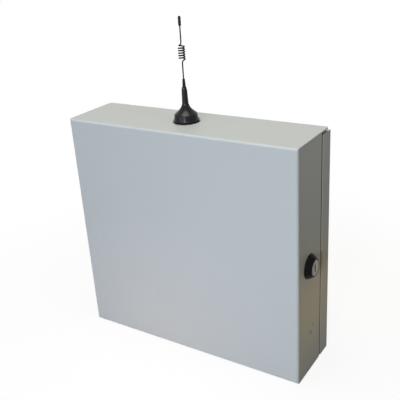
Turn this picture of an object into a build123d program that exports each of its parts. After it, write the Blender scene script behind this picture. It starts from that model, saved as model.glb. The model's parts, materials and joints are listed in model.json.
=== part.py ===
from build123d import *
import math
import os

# Lengths in millimetres. X to the right, Y towards the wall, Z up.
# The origin is the middle of the back face.

# Case
box_width = 290.0
box_depth = 82.0
sheet = 1.2
bend_inside_radius = 1.3

# Cuts run this far past the faces they go through
overrun = 4.0

# Flat sides on turned mouldings, on small round pieces and on wire
turned_sides = 24
small_sides = 12
wire_sides = 6

# Door shell
hood_setback = 6.0
hood_corner_radius = 3.0

# Back pan
pan_depth = 21.5
pan_bend_inside_radius = 0.4
seam_gap = 3.0
hood_gap = 3.0
return_flange = 15.0
wall_hole_radius = 3.5
wall_hole_inset_x = 23.0
wall_hole_inset_z = 27.5
knockout_radius = 9.0
knockout_slot = 0.8
knockout_tab = 3.0
knockout_pitch = 60.0
knockout_count = 3

# Hinges
hinge_height = 40.0
hinge_from_middle = 85.0
leaf_sheet = 1.5
leaf_width = 13.0
knuckle_radius = 3.0
knuckle_standoff = 0.4
knuckle_end_gap = 0.3
knuckle_side_gap = 0.6
knuckles_per_hinge = 3
pin_radius = 1.5
pin_clearance = 0.05
pin_head_radius = 2.6
pin_head_height = 1.2

# Lock
lock_from_front = 28.0
lock_below_middle = 2.0
collar_radius = 14.0
collar_face_radius = 10.2
collar_height = 7.0
collar_rim = 0.8
barrel_head_radius = 8.6
barrel_head_height = 1.6
barrel_radius = 7.6
barrel_half_flats = 6.9
barrel_length = 21.0
plug_radius = 6.0
plug_clearance = 0.05
fit_clearance = 0.1
key_slot_width = 2.8
key_slot_height = 9.2
key_slot_depth = 12.0
plug_tail_side = 6.0
lock_nut_flats = 22.0
lock_nut_height = 4.5
cam_sheet = 2.0
cam_gap = 0.2
cam_width = 14.0
cam_length = 34.0
cam_screw_head_flats = 8.0
cam_screw_head_height = 3.0

# Striker
striker_sheet = 1.5
striker_bend_radius = 1.0
striker_width = 20.0
striker_below_lock = 22.0
striker_wall_clearance = 4.2
striker_play = 0.6
striker_past_cam = 5.0
striker_foot_setback = 1.0

# Antenna
antenna_left_of_middle = 7.0
antenna_from_front = 40.4
pad_radius = 13.6
pad_thickness = 0.8
foot_radius = 14.5
foot_lip_height = 2.0
foot_lip_slope = 0.3
foot_waist_radius = 13.3
foot_crown_radius = 12.9
foot_crown_chamfer = 0.9
foot_height = 9.5
flare_top = 22.0
flare_steps = 6
mast_foot_radius = 3.5
mast_shoulder_radius = 3.1
mast_shoulder = 35.0
mast_top_radius = 2.4
mast_top = 38.6
magnet_radius = 11.4
magnet_thickness = 4.5
sleeve_seat = 5.0
sleeve_foot_radius = 1.8
sleeve_top_radius = 1.35
sleeve_top = 47.3
wire_radius = 0.72
coil_bottom = 68.2
coil_top = 82.4
coil_radius = 3.2
coil_turns = 5.5
coil_steps_per_turn = 12
coil_arm_rise = 2.0
tip_bottom = 103.2
tip_top = 113.2
tip_radius = 1.55
tip_edge = 0.5
tip_wall = 2.5

# Room kept free round the equipment inside the case
side_room = 18.0
lock_room = 26.0
top_room = 4.0
wiring_room = 27.0
equipment_gap = 8.0

# Earth stud
earth_stud_radius = 3.0
earth_stud_length = 18.0
earth_nut_flats = 10.0
earth_nut_height = 5.0
earth_washer_radius = 6.5
earth_washer_height = 1.2
earth_from_flange = 16.0
earth_above_flange = 46.0

# Mounting rail and what clips on it
rail_height = 35.0
rail_depth = 7.5
rail_sheet = 1.0
rail_channel = 27.0
rail_spare = 2.0
rail_screw_flats = 7.0
rail_screw_head = 4.0
rail_screw_inset = 18.0
device_gap = 0.6
device_back_gap = 1.5
device_height = 80.0
device_nose_height = 45.0
device_nose_depth = 14.0
breaker_width = 36.0
arrester_width = 36.0
cartridge_floor_wall = 14.0
cartridge_proud = 2.0
cartridge_count = 2
wire_entry = 6.0
wire_entry_depth = 8.0
screw_recess = 5.0
lever_hub_radius = 6.5
lever_hub_depth = 4.0
lever_clearance = 0.4
lever_reach = 15.0
lever_thickness = 3.4
lever_side_wall = 3.0
lever_angle = 35.0
lever_room = 10.0
terminal_width = 5.2
terminal_height = 46.0
terminal_depth = 40.0
terminal_entry = 3.0
terminal_count = 3
earth_terminal_count = 2
end_stop_width = 8.0
end_stop_height = 46.0
end_stop_depth = 26.0

# Power supply
supply_depth = 36.0
supply_height = 78.0
supply_sheet = 1.0
supply_ledge = 18.0
supply_slot_width = 2.4
supply_slot_pitch = 7.0
supply_slot_margin = 12.0
supply_terminal_pitch = 9.0
supply_terminal_height = 14.0
supply_terminal_depth = 13.0
supply_terminal_margin = 6.0

# Control board
board_thickness = 1.6
spacer_height = 12.0
spacer_flats = 6.0
spacer_inset = 5.0
spacer_columns = 2
spacer_rows = 3
board_screw_flats = 5.5
board_screw_head = 2.2
board_margin = 8.0
row_gap = 4.0

# Lamp outputs along the bottom edge of the board
plug_pitch = 7.62
plug_row_count = 3
plug_row_gap = 5.0
header_depth = 8.0
header_height = 9.0
plug_overhang = 9.0
plug_height = 12.0
plug_seat = 6.0
plug_wall = 2.0
plug_entry_depth = 6.0
fuse_pitch = 16.0
fuse_width = 11.0
fuse_length = 8.0
fuse_height = 9.0
triac_width = 10.0
triac_body_length = 4.4
triac_body_height = 16.0
triac_tab = 1.3
triac_tab_height = 22.0
heat_sink_thickness = 3.0
heat_sink_height = 26.0
heat_sink_foot = 9.0
lamp_width = 2.0
lamp_length = 1.4
lamp_height = 1.2

# Display, keys and the other things along the top edge of the board
display_width = 66.0
display_height = 34.0
display_depth = 9.0
display_border_side = 5.0
display_border_top = 6.0
display_recess = 1.2
display_below = 15.0
glass_sheet = 0.8
key_base_side = 12.0
key_base_height = 4.0
key_pitch = 15.0
key_columns = 2
key_rows = 2
key_stem_side = 6.4
key_stem_clearance = 0.3
key_stem_depth = 1.6
key_travel = 0.5
key_floor_clearance = 0.3
key_cap_side = 9.0
key_cap_height = 4.0
key_cap_clearance = 0.9
cell_radius = 10.0
cell_thickness = 3.2
cell_holder_wall = 1.5
cell_holder_floor = 1.2
cell_lift_slot = 8.0
radio_width = 26.0
radio_height = 26.0
radio_depth = 3.4
jack_flats = 8.0
jack_body_length = 7.0
jack_thread_radius = 3.1
jack_thread_length = 9.0
jack_hole_radius = 1.2
jack_hole_depth = 6.0

# Chips and capacitors in the middle of the board
processor_side = 16.0
processor_height = 1.6
driver_width = 10.0
driver_length = 7.5
driver_height = 2.4
driver_pitch = 18.0
capacitor_radius = 5.0
capacitor_height = 16.0
capacitor_pitch = 13.0
capacitor_count = 3

# Rows on the control board, one above the other from its bottom edge
header_row = plug_seat
fuse_row = header_row + header_depth + row_gap
lamp_row = fuse_row + fuse_length + row_gap / 2
sink_row = lamp_row + lamp_length + row_gap / 2 + triac_body_length
chip_row = sink_row + heat_sink_foot + row_gap
display_row = chip_row + processor_side + display_below
board_height = display_row + display_height + board_margin

# The case is as tall as the wiring room, the board and the devices above it
device_row_height = max(device_height, supply_height)
inside_height = wiring_room + board_height + equipment_gap + device_row_height + top_room
box_height = inside_height + 2 * return_flange + hood_gap + sheet

# Faces of the closed case
x_left = -box_width / 2
x_right = box_width / 2
y_front = -box_depth
z_bottom = -box_height / 2
z_top = box_height / 2
bend_radius = bend_inside_radius + sheet
pan_bend_radius = pan_bend_inside_radius + sheet
hood_end = -hood_setback
pan_front = -pan_depth
door_edge = pan_front - seam_gap
pan_top = z_top - sheet - hood_gap
plate_face = -sheet
mouth_left = x_left + return_flange
mouth_right = x_right - return_flange
mouth_bottom = z_bottom + return_flange
mouth_top = pan_top - return_flange

# Hinge line
hinge_x = x_left - knuckle_standoff - knuckle_radius
hinge_y = (door_edge + pan_front) / 2
hinge_middles = (-hinge_from_middle, hinge_from_middle)
knuckle_height = (hinge_height - (knuckles_per_hinge - 1) * knuckle_end_gap) / knuckles_per_hinge

# Lock line and the planes across it
lock_y = y_front + lock_from_front
lock_z = -lock_below_middle
lock_face = x_right + collar_height
barrel_end = x_right - barrel_length
cam_outer = barrel_end - cam_gap
cam_inner = cam_outer - cam_sheet

# Striker planes
striker_middle_z = lock_z - striker_below_lock - striker_width / 2
striker_arm_x = x_right - sheet - striker_wall_clearance - striker_sheet / 2
striker_foot_y = pan_front - striker_sheet / 2
striker_lip_y = lock_y - cam_width / 2 - striker_play - striker_sheet / 2

# Antenna axis
antenna_x = -antenna_left_of_middle
antenna_y = y_front + antenna_from_front

# Equipment field on the back plate
field_left = mouth_left + side_room
field_right = mouth_right - lock_room
field_top = mouth_top - top_room
field_bottom = mouth_bottom + wiring_room

# Mounting rail: the devices stand side by side from its left end
rail_z = field_top - device_height / 2
rail_face = plate_face - rail_depth
device_back = plate_face - device_back_gap
lever_lean = math.radians(lever_angle)
lever_out = lever_reach * math.cos(lever_lean) + lever_thickness / 2 * math.sin(lever_lean)
lever_y = y_front + sheet + lever_room + lever_out
device_nose = lever_y - lever_hub_depth
device_shoulder = device_nose + device_nose_depth
terminal_names = [f"terminal {n}" for n in range(terminal_count)]
earth_terminal_names = [f"earth {n}" for n in range(earth_terminal_count)]
device_widths = {"first stop": end_stop_width, "breaker": breaker_width, "arrester": arrester_width}
device_widths |= {name: terminal_width for name in terminal_names + earth_terminal_names}
device_widths |= {"last stop": end_stop_width}
rail_length = sum(device_widths.values()) + (len(device_widths) - 1) * device_gap + 2 * rail_spare
rail_left = field_right - rail_length

# Power supply fills the field beside the rail
supply_left = field_left
supply_right = rail_left - equipment_gap
supply_top = field_top
supply_bottom = field_top - supply_height
supply_face = plate_face - supply_depth

# Control board fills the field below them
board_left = field_left
board_right = field_right
board_bottom = field_bottom
board_top = board_bottom + board_height
board_back = plate_face - spacer_height
board_face = board_back - board_thickness
board_middle = (board_left + board_right) / 2
board_edge_room = spacer_inset + spacer_flats
board_room = board_right - board_left - 2 * board_edge_room

# Lamp outputs across the board
plug_row_room = board_room - (plug_row_count - 1) * plug_row_gap
plug_ways = int(plug_row_room / plug_row_count / plug_pitch)
plug_row_width = plug_ways * plug_pitch
plug_row_step = plug_row_width + plug_row_gap
output_count = int(board_room / fuse_pitch)

# Display, keys, radio and jack along the top edge of the board
display_left = board_left + board_edge_room
display_right = display_left + display_width
display_bottom = board_bottom + display_row
display_top = display_bottom + display_height
key_left = display_right + board_margin
key_base_face = board_face - key_base_height
jack_x = board_right - board_edge_room - jack_flats / 2
radio_right = jack_x - jack_flats / 2 - row_gap
radio_left = radio_right - radio_width

# Chips across the middle of the board, from left to right
chip_z = board_bottom + chip_row + processor_side / 2
capacitor_left = board_left + board_edge_room + capacitor_radius
capacitor_right = capacitor_left + (capacitor_count - 1) * capacitor_pitch + capacitor_radius
cell_x = capacitor_right + board_margin + cell_holder_wall + cell_radius
processor_left = cell_x + cell_radius + cell_holder_wall + board_margin
driver_left = processor_left + processor_side + board_margin + driver_width / 2
driver_room = board_right - board_edge_room - driver_width / 2 - driver_left
driver_count = int(driver_room / driver_pitch) + 1

RIGHT = (1, 0, 0)
LEFT = (-1, 0, 0)
TO_WALL = (0, 1, 0)
TO_FRONT = (0, -1, 0)
UP = (0, 0, 1)
DOWN = (0, 0, -1)


def block(x, y, z):
    """A box between two places along each axis."""
    spans = [sorted(pair) for pair in (x, y, z)]
    middle = [(low + high) / 2 for low, high in spans]
    return Pos(*middle) * Box(*[high - low for low, high in spans])


def around(middle, size):
    """The two places half a size either side of a middle."""
    return (middle - size / 2, middle + size / 2)


def rod(start, direction, radius, length):
    """A round bar that runs from a start point."""
    along = (Align.CENTER, Align.CENTER, Align.MIN)
    return Plane(origin=start, z_dir=direction) * Cylinder(radius, length, align=along)


def bar(start, direction, radius, length, sides=small_sides):
    """A many-sided bar inside the given radius."""
    face = Plane(origin=start, z_dir=direction) * RegularPolygon(radius, sides)
    return extrude(face, amount=length)


def socket(start, direction, radius, length, sides=small_sides):
    """A many-sided hole outside the given radius, for a bar with as many sides."""
    face = Plane(origin=start, z_dir=direction) * RegularPolygon(radius, sides, major_radius=False)
    return extrude(face, amount=length)


def turned(start, direction, profile, sides=turned_sides):
    """A turned form with flat sides: the profile is pairs of distance from the start and radius."""
    place = Plane(origin=start, z_dir=direction)
    angles = [2 * math.pi * corner / sides for corner in range(sides)]
    rings = []
    for distance, radius in profile:
        ring = [Vector(radius * math.cos(a), radius * math.sin(a), distance) for a in angles]
        rings.append([place.from_local_coords(point) for point in ring])
    outlines = [rings[0], rings[-1]]
    for low, high in zip(rings, rings[1:]):
        for corner in range(sides):
            outlines.append([low[corner - 1], low[corner], high[corner], high[corner - 1]])
    return Solid(Shell([Face(Wire.make_polygon(outline)) for outline in outlines]))


def hex_bar(start, direction, flats, length):
    """A six-sided bar that runs from a start point."""
    face = Plane(origin=start, z_dir=direction) * RegularPolygon(flats / 2, 6, major_radius=False)
    return extrude(face, amount=length)


def group(solids):
    """Separate solids kept in one piece list."""
    return Compound([solid for shape in solids for solid in shape.solids()])


def door_blank(inset, back, radius):
    """The door's outside, or with an inset its hollow, with the folds rounded."""
    blank = block(
        (x_left + inset, x_right - inset),
        (y_front + inset, back),
        (z_bottom + inset, z_top - inset),
    )
    return fillet(blank.faces().sort_by(Axis.Y)[0].edges(), radius)


def lock_hole():
    """The hole with two flats that the lock barrel passes through."""
    radius = barrel_radius + fit_clearance
    half_flats = barrel_half_flats + fit_clearance
    through = (x_right - sheet - overrun, x_right + overrun)
    bore = rod((through[0], lock_y, lock_z), RIGHT, radius, through[1] - through[0])
    return bore & block(through, around(lock_y, 2 * half_flats), around(lock_z, 2 * radius))


def door_shell():
    """Front, sides, bottom and top folded from one sheet; the top runs on as a hood."""
    shell = door_blank(0, hood_end, bend_radius) - door_blank(sheet, overrun, bend_inside_radius)
    shell -= block(
        (x_left - overrun, x_right + overrun),
        (door_edge, overrun),
        (z_bottom - overrun, z_top - sheet),
    )
    plan = block((x_left, x_right), (y_front, hood_end), (z_bottom, z_top))
    hood_corners = plan.edges().filter_by(Axis.Z).group_by(Axis.Y)[-1]
    shell &= fillet(hood_corners, hood_corner_radius)
    return shell - lock_hole()


def pan_blank(inset, radius):
    """The pan's outside, or with an inset its hollow, with the folds at back and front rounded."""
    blank = block(
        (x_left + inset, x_right - inset),
        (pan_front + inset, -inset),
        (z_bottom + inset, pan_top - inset),
    )
    faces = blank.faces().sort_by(Axis.Y)
    return fillet(faces[0].edges() + faces[-1].edges(), radius)


def knockout(x):
    """The two curved slots round a disc that can be pushed out for a cable."""
    centre = (x, plate_face - overrun, wall_hole_inset_z + z_bottom)
    length = sheet + 2 * overrun
    slot = bar(centre, TO_WALL, knockout_radius, length)
    slot -= bar(centre, TO_WALL, knockout_radius - knockout_slot, length)
    tabs = block(
        around(x, 2 * (knockout_radius + overrun)),
        (centre[1], centre[1] + length),
        around(centre[2], knockout_tab),
    )
    return slot - tabs


def back_pan():
    """Back plate with four walls and flanges turned in, folded from one sheet."""
    pan = pan_blank(0, pan_bend_radius) - pan_blank(sheet, pan_bend_inside_radius)
    pan -= block((mouth_left, mouth_right), (pan_front - overrun, pan_front / 2), (mouth_bottom, mouth_top))
    for x in (x_left + wall_hole_inset_x, x_right - wall_hole_inset_x):
        for z in (z_bottom + wall_hole_inset_z, z_top - wall_hole_inset_z):
            pan -= rod((x, -sheet - overrun, z), TO_WALL, wall_hole_radius, sheet + 2 * overrun)
    for place in range(knockout_count):
        pan -= knockout((place - (knockout_count - 1) / 2) * knockout_pitch)
    return pan


def hinge_leaf(middle, toward, places, bore):
    """A leaf with its knuckles; toward is 1 for the pan's side and -1 for the door's."""
    bottom, top = around(middle, hinge_height)
    plate_start = hinge_y + toward * (knuckle_radius + knuckle_side_gap)
    thickness = (x_left - leaf_sheet, x_left)
    leaf = block(thickness, (plate_start, hinge_y + toward * leaf_width), (bottom, top))
    for place in places:
        low = bottom + place * (knuckle_height + knuckle_end_gap)
        leaf += block(thickness, (hinge_y, plate_start), (low, low + knuckle_height))
        leaf += bar((hinge_x, hinge_y, low), UP, knuckle_radius, knuckle_height)
    bore_radius = pin_radius + pin_clearance
    return leaf - bore((hinge_x, hinge_y, bottom - overrun), UP, bore_radius, hinge_height + 2 * overrun)


def hinge_pan_leaves():
    """The leaves welded to the pan, with every other knuckle from the ends; they grip the pins."""
    places = range(0, knuckles_per_hinge, 2)
    return group([hinge_leaf(z, 1, places, socket) for z in hinge_middles])


def hinge_door_leaves():
    """The leaves welded to the door, with the knuckles between; they turn on the pins."""
    places = range(1, knuckles_per_hinge, 2)
    return group([hinge_leaf(z, -1, places, rod) for z in hinge_middles])


def hinge_pins():
    """A pin with a head at both ends for each hinge."""
    pins = []
    for middle in hinge_middles:
        bottom, top = around(middle, hinge_height)
        pin = rod((hinge_x, hinge_y, bottom), UP, pin_radius, hinge_height)
        for end in (top, bottom - pin_head_height):
            pin += bar((hinge_x, hinge_y, end), UP, pin_head_radius, pin_head_height)
        pins.append(pin)
    return group(pins)


def lock_collar():
    """The conical black ring between the barrel's head and the case."""
    profile = (
        (0, collar_radius),
        (collar_height - collar_rim, collar_face_radius + collar_rim),
        (collar_height, collar_face_radius),
    )
    ring = turned((x_right, lock_y, lock_z), RIGHT, profile)
    bore_radius = barrel_radius + fit_clearance
    ring -= socket((x_right - overrun, lock_y, lock_z), RIGHT, bore_radius, 2 * collar_height, turned_sides)
    seat = (lock_face - barrel_head_height, lock_y, lock_z)
    return ring - socket(seat, RIGHT, barrel_head_radius + fit_clearance, collar_height, turned_sides)


def lock_barrel():
    """The fixed outer tube of the lock, with a head and two flats."""
    length = barrel_length + collar_height
    tube = bar((barrel_end, lock_y, lock_z), RIGHT, barrel_radius, length, turned_sides)
    across = around(lock_y, 2 * barrel_half_flats)
    tube &= block((barrel_end, lock_face), across, around(lock_z, 2 * barrel_radius))
    seat = (lock_face - barrel_head_height, lock_y, lock_z)
    tube += bar(seat, RIGHT, barrel_head_radius, barrel_head_height, turned_sides)
    start = (barrel_end - overrun, lock_y, lock_z)
    return tube - rod(start, RIGHT, plug_radius + plug_clearance, length + 2 * overrun)


def lock_nut():
    """The nut that holds the barrel against the inside of the door."""
    inner = x_right - sheet
    nut = hex_bar((inner, lock_y, lock_z), LEFT, lock_nut_flats, lock_nut_height)
    start = (inner + overrun, lock_y, lock_z)
    length = lock_nut_height + 2 * overrun
    return nut - socket(start, LEFT, barrel_radius + fit_clearance, length, turned_sides)


def lock_plug():
    """The turning core with the key slot in its face and a square tail for the cam."""
    plug = rod((barrel_end, lock_y, lock_z), RIGHT, plug_radius, barrel_length + collar_height)
    side = around(lock_y, plug_tail_side), around(lock_z, plug_tail_side)
    plug += block((cam_inner, barrel_end + overrun), *side)
    return plug - block(
        (lock_face - key_slot_depth, lock_face + overrun),
        around(lock_y, key_slot_width),
        around(lock_z, key_slot_height),
    )


def lock_cam():
    """The flat latch on the plug's tail; it points to the wall when unlocked."""
    thickness = (cam_inner, cam_outer)
    end = lock_y + cam_length - cam_width / 2
    cam = block(thickness, (lock_y, end), around(lock_z, cam_width))
    for y in (lock_y, end):
        cam += bar((cam_inner, y, lock_z), RIGHT, cam_width / 2, cam_sheet, turned_sides)
    hole = plug_tail_side + 2 * fit_clearance
    cut = (cam_inner - overrun, cam_outer + overrun)
    return cam - block(cut, around(lock_y, hole), around(lock_z, hole))


def cam_screw():
    """The hex head that clamps the cam on the tail."""
    return hex_bar((cam_inner, lock_y, lock_z), LEFT, cam_screw_head_flats, cam_screw_head_height)


def lock_striker():
    """A strip welded to the pan's flange and folded across the front of the locked cam."""
    foot_end = (mouth_right + striker_foot_setback, striker_foot_y)
    lip_end = (cam_inner - striker_past_cam, striker_lip_y)
    path = FilletPolyline(
        foot_end,
        (striker_arm_x, striker_foot_y),
        (striker_arm_x, striker_lip_y),
        lip_end,
        radius=striker_bend_radius + striker_sheet / 2,
    )
    strip = trace(path, striker_sheet)
    low, high = around(striker_middle_z, striker_width)
    return extrude(Pos(0, 0, low) * strip, amount=high - low, dir=UP)


def on_antenna(solid):
    """Moves a solid built on the Z axis to the antenna's place on the top."""
    return Pos(antenna_x, antenna_y, z_top) * solid


def antenna_pad():
    """The thin rubber disc under the magnet."""
    return on_antenna(bar((0, 0, 0), UP, pad_radius, pad_thickness, turned_sides))


def antenna_magnet():
    """The disc magnet in the foot."""
    return on_antenna(bar((0, 0, pad_thickness), UP, magnet_radius, magnet_thickness, turned_sides))


def antenna_foot():
    """The moulded foot that flares into the mast."""
    flare_width = foot_crown_radius - foot_crown_chamfer - mast_foot_radius
    lip_top = pad_thickness + foot_lip_height
    profile = [
        (pad_thickness, foot_radius),
        (lip_top, foot_radius),
        (lip_top + foot_lip_slope, foot_waist_radius),
        (foot_height - foot_crown_chamfer, foot_crown_radius),
    ]
    for step in range(flare_steps + 1):
        left = 1 - step / flare_steps
        height = flare_top - (flare_top - foot_height) * left
        profile.append((height, mast_foot_radius + flare_width * left ** 2))
    profile += [(mast_shoulder, mast_shoulder_radius), (mast_top, mast_top_radius)]
    foot = turned((0, 0, 0), UP, profile)
    well_top = pad_thickness + magnet_thickness
    well_depth = magnet_thickness + overrun
    foot -= socket((0, 0, well_top), DOWN, magnet_radius + fit_clearance, well_depth, turned_sides)
    seat = (0, 0, mast_top - sleeve_seat)
    return on_antenna(foot - socket(seat, UP, sleeve_foot_radius + fit_clearance, sleeve_seat + overrun))


def antenna_sleeve():
    """The rubber sleeve between mast and whip."""
    bottom = mast_top - sleeve_seat
    profile = (
        (bottom, sleeve_foot_radius),
        (mast_top, sleeve_foot_radius),
        (sleeve_top, sleeve_top_radius),
    )
    sleeve = turned((0, 0, 0), UP, profile, small_sides)
    start = (0, 0, bottom - overrun)
    length = sleeve_top - bottom + 2 * overrun
    return on_antenna(sleeve - socket(start, UP, wire_radius + fit_clearance, length, wire_sides))


def whip_end(straight_end, arm_z, coil_end):
    """A straight run of the whip with the arm that leads out to the coil."""
    toward = math.copysign(1, arm_z - straight_end)
    path = Polyline((0, 0, straight_end), (0, 0, arm_z), coil_end)
    start = Plane(origin=(0, 0, straight_end), z_dir=(0, 0, toward))
    section = start * RegularPolygon(wire_radius, wire_sides)
    return sweep(section, path=path, transition=Transition.RIGHT)


def antenna_whip():
    """The wire whip with its wound coil."""
    steps = round(coil_turns * coil_steps_per_turn)
    turns = [2 * math.pi * coil_turns * step / steps for step in range(steps + 1)]
    rise = (coil_top - coil_bottom) / turns[-1]
    points = [(coil_radius * math.cos(a), coil_radius * math.sin(a), coil_bottom + rise * a) for a in turns]
    path = Polyline(*points)
    start = Plane(origin=path @ 0, z_dir=path % 0)
    section = start * RegularPolygon(wire_radius, wire_sides)
    whip = sweep(section, path=path, transition=Transition.RIGHT)
    whip += whip_end(mast_top - sleeve_seat, coil_bottom - coil_arm_rise, points[0])
    whip += whip_end(tip_top - tip_wall, coil_top + coil_arm_rise, points[-1])
    return on_antenna(whip)


def antenna_tip():
    """The moulded cap on the end of the whip."""
    profile = (
        (tip_bottom, tip_radius - tip_edge),
        (tip_bottom + tip_edge, tip_radius),
        (tip_top - 2 * tip_edge, tip_radius),
        (tip_top, tip_radius - 2 * tip_edge),
    )
    cap = turned((0, 0, 0), UP, profile, small_sides)
    bore_top = tip_top - tip_wall + fit_clearance
    start = (0, 0, tip_bottom - overrun)
    length = bore_top - tip_bottom + overrun
    return on_antenna(cap - socket(start, UP, wire_radius + fit_clearance, length, wire_sides))


def earth_place():
    """Where the earth stud stands on the back plate."""
    return (mouth_right - earth_from_flange, plate_face, mouth_bottom + earth_above_flange)


def earth_stud():
    """The stud welded to the back plate."""
    return bar(earth_place(), TO_FRONT, earth_stud_radius, earth_stud_length)


def earth_nut():
    """Nut and washer on the earth stud."""
    x, y, z = earth_place()
    nut = bar((x, y, z), TO_FRONT, earth_washer_radius, earth_washer_height, turned_sides)
    nut += hex_bar((x, y - earth_washer_height, z), TO_FRONT, earth_nut_flats, earth_nut_height)
    return nut - socket((x, y + overrun, z), TO_FRONT, earth_stud_radius + fit_clearance, earth_stud_length)


def device_span(device):
    """The left and right sides of a device on the rail."""
    names = list(device_widths)
    before = names[:names.index(device)]
    left = rail_left + rail_spare + sum(device_widths[name] + device_gap for name in before)
    return (left, left + device_widths[device])


def rail_recess(x):
    """What a device leaves free for the rail at its back."""
    height = rail_height + 2 * fit_clearance
    wide = (x[0] - overrun, x[1] + overrun)
    return block(wide, (rail_face, overrun), around(rail_z, height))


def mounting_rail():
    """The hat-shaped rail."""
    x = (rail_left, rail_left + rail_length)
    rail = block(x, (plate_face, plate_face - rail_sheet), around(rail_z, rail_channel))
    for side in (-1, 1):
        web = rail_z + side * rail_channel / 2
        rail += block(x, (plate_face, rail_face), (web, web - side * rail_sheet))
        brim = (web - side * rail_sheet, rail_z + side * rail_height / 2)
        rail += block(x, (rail_face, rail_face + rail_sheet), brim)
    return rail


def rail_screws():
    """Hex screws in the channel of the rail."""
    places = (rail_left + rail_screw_inset, rail_left + rail_length - rail_screw_inset)
    start = plate_face - rail_sheet
    return group([hex_bar((x, start, rail_z), TO_FRONT, rail_screw_flats, rail_screw_head) for x in places])


def device_body(x):
    """A body with two shoulders, open at the back for the rail."""
    return block(x, (device_back, device_shoulder), around(rail_z, device_height)) - rail_recess(x)


def shoulder_cuts(x, poles):
    """Wire entries at the ends and screw recesses in the shoulders, for each pole."""
    cuts = []
    pole = (x[1] - x[0]) / poles
    entry_y = (rail_face + device_shoulder) / 2
    shoulder = (device_height - device_nose_height) / 2
    for place in range(poles):
        middle = x[0] + (place + 1 / 2) * pole
        for side in (-1, 1):
            end = rail_z + side * device_height / 2
            reach = (end + side * overrun, end - side * wire_entry_depth)
            cuts.append(block(around(middle, wire_entry), around(entry_y, wire_entry), reach))
            screw_z = end - side * shoulder / 2
            depth = (device_shoulder - overrun, device_shoulder + screw_recess)
            cuts.append(block(around(middle, screw_recess), depth, around(screw_z, screw_recess)))
    return cuts


def breaker_case():
    """Two-pole breaker with a nose that carries the lever."""
    x = device_span("breaker")
    case = device_body(x) + block(x, (device_shoulder, device_nose), around(rail_z, device_nose_height))
    for cut in shoulder_cuts(x, 2):
        case -= cut
    well = (x[0] + lever_side_wall - lever_clearance, x[1] - lever_side_wall + lever_clearance)
    width = well[1] - well[0]
    case -= rod((well[0], lever_y, rail_z), RIGHT, lever_hub_radius + lever_clearance, width)
    half_slot = lever_hub_depth * math.tan(lever_lean) + lever_clearance
    half_slot += lever_thickness / 2 / math.cos(lever_lean)
    return case - block(well, (lever_y, device_nose - overrun), around(rail_z, 2 * half_slot))


def breaker_lever():
    """The lever with its round hub; it leans up when on."""
    x = device_span("breaker")
    wide = (x[0] + lever_side_wall, x[1] - lever_side_wall)
    lever = rod((wide[0], 0, 0), RIGHT, lever_hub_radius, wide[1] - wide[0])
    arm = block(wide, (0, -lever_reach), around(0, lever_thickness))
    lever += Rot(-lever_angle, 0, 0) * arm
    return Pos(0, lever_y, rail_z) * lever


def cartridge_floor():
    """The bottom of the well that the arrester cartridges plug into."""
    return rail_face - cartridge_floor_wall


def arrester_base():
    """The base of the surge arrester, with a well for its cartridges."""
    x = device_span("arrester")
    wide = (x[0] - overrun, x[1] + overrun)
    well = block(wide, (device_shoulder - overrun, cartridge_floor()), around(rail_z, device_nose_height))
    base = device_body(x) - well
    for cut in shoulder_cuts(x, cartridge_count):
        base -= cut
    return base


def arrester_cartridges():
    """The plug-in cartridges of the surge arrester."""
    x = device_span("arrester")
    pitch = (x[1] - x[0]) / cartridge_count
    depth = (cartridge_floor(), device_nose - cartridge_proud)
    height = around(rail_z, device_nose_height - 2 * fit_clearance)
    places = [x[0] + place * pitch for place in range(cartridge_count)]
    return group([block((x0 + fit_clearance, x0 + pitch - fit_clearance), depth, height) for x0 in places])


def rail_terminal(device):
    """A slim feed-through terminal with two wire entries and two screw recesses."""
    x = device_span(device)
    front = device_back - terminal_depth
    body = block(x, (device_back, front), around(rail_z, terminal_height)) - rail_recess(x)
    middle = (x[0] + x[1]) / 2
    for side in (-1, 1):
        end = rail_z + side * terminal_height / 2
        reach = (end + side * overrun, end - side * wire_entry_depth)
        entry_y = around((front + rail_face) / 2, terminal_entry)
        body -= block(around(middle, terminal_entry), entry_y, reach)
        screw_z = rail_z + side * terminal_height / 4
        body -= block(around(middle, terminal_entry), (front - overrun, front + screw_recess),
                      around(screw_z, terminal_entry))
    return body


def rail_terminals():
    """The through terminals."""
    return group([rail_terminal(name) for name in terminal_names])


def earth_terminals():
    """The earth terminals beside them."""
    return group([rail_terminal(name) for name in earth_terminal_names])


def rail_end_stops():
    """The stops at both ends of the row."""
    stops = []
    for name in ("first stop", "last stop"):
        x = device_span(name)
        stop = block(x, (device_back, device_back - end_stop_depth), around(rail_z, end_stop_height))
        stops.append(stop - rail_recess(x))
    return group(stops)


def supply_base():
    """The supply's tray: a floor with a wall at its top and bottom ends."""
    x = (supply_left, supply_right)
    tray = block(x, (plate_face, plate_face - supply_sheet), (supply_bottom, supply_top))
    tray += block(x, (plate_face, supply_face + supply_sheet), (supply_top, supply_top - supply_sheet))
    wall_top = plate_face - supply_terminal_depth
    return tray + block(x, (plate_face, wall_top), (supply_bottom, supply_bottom + supply_sheet))


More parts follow.
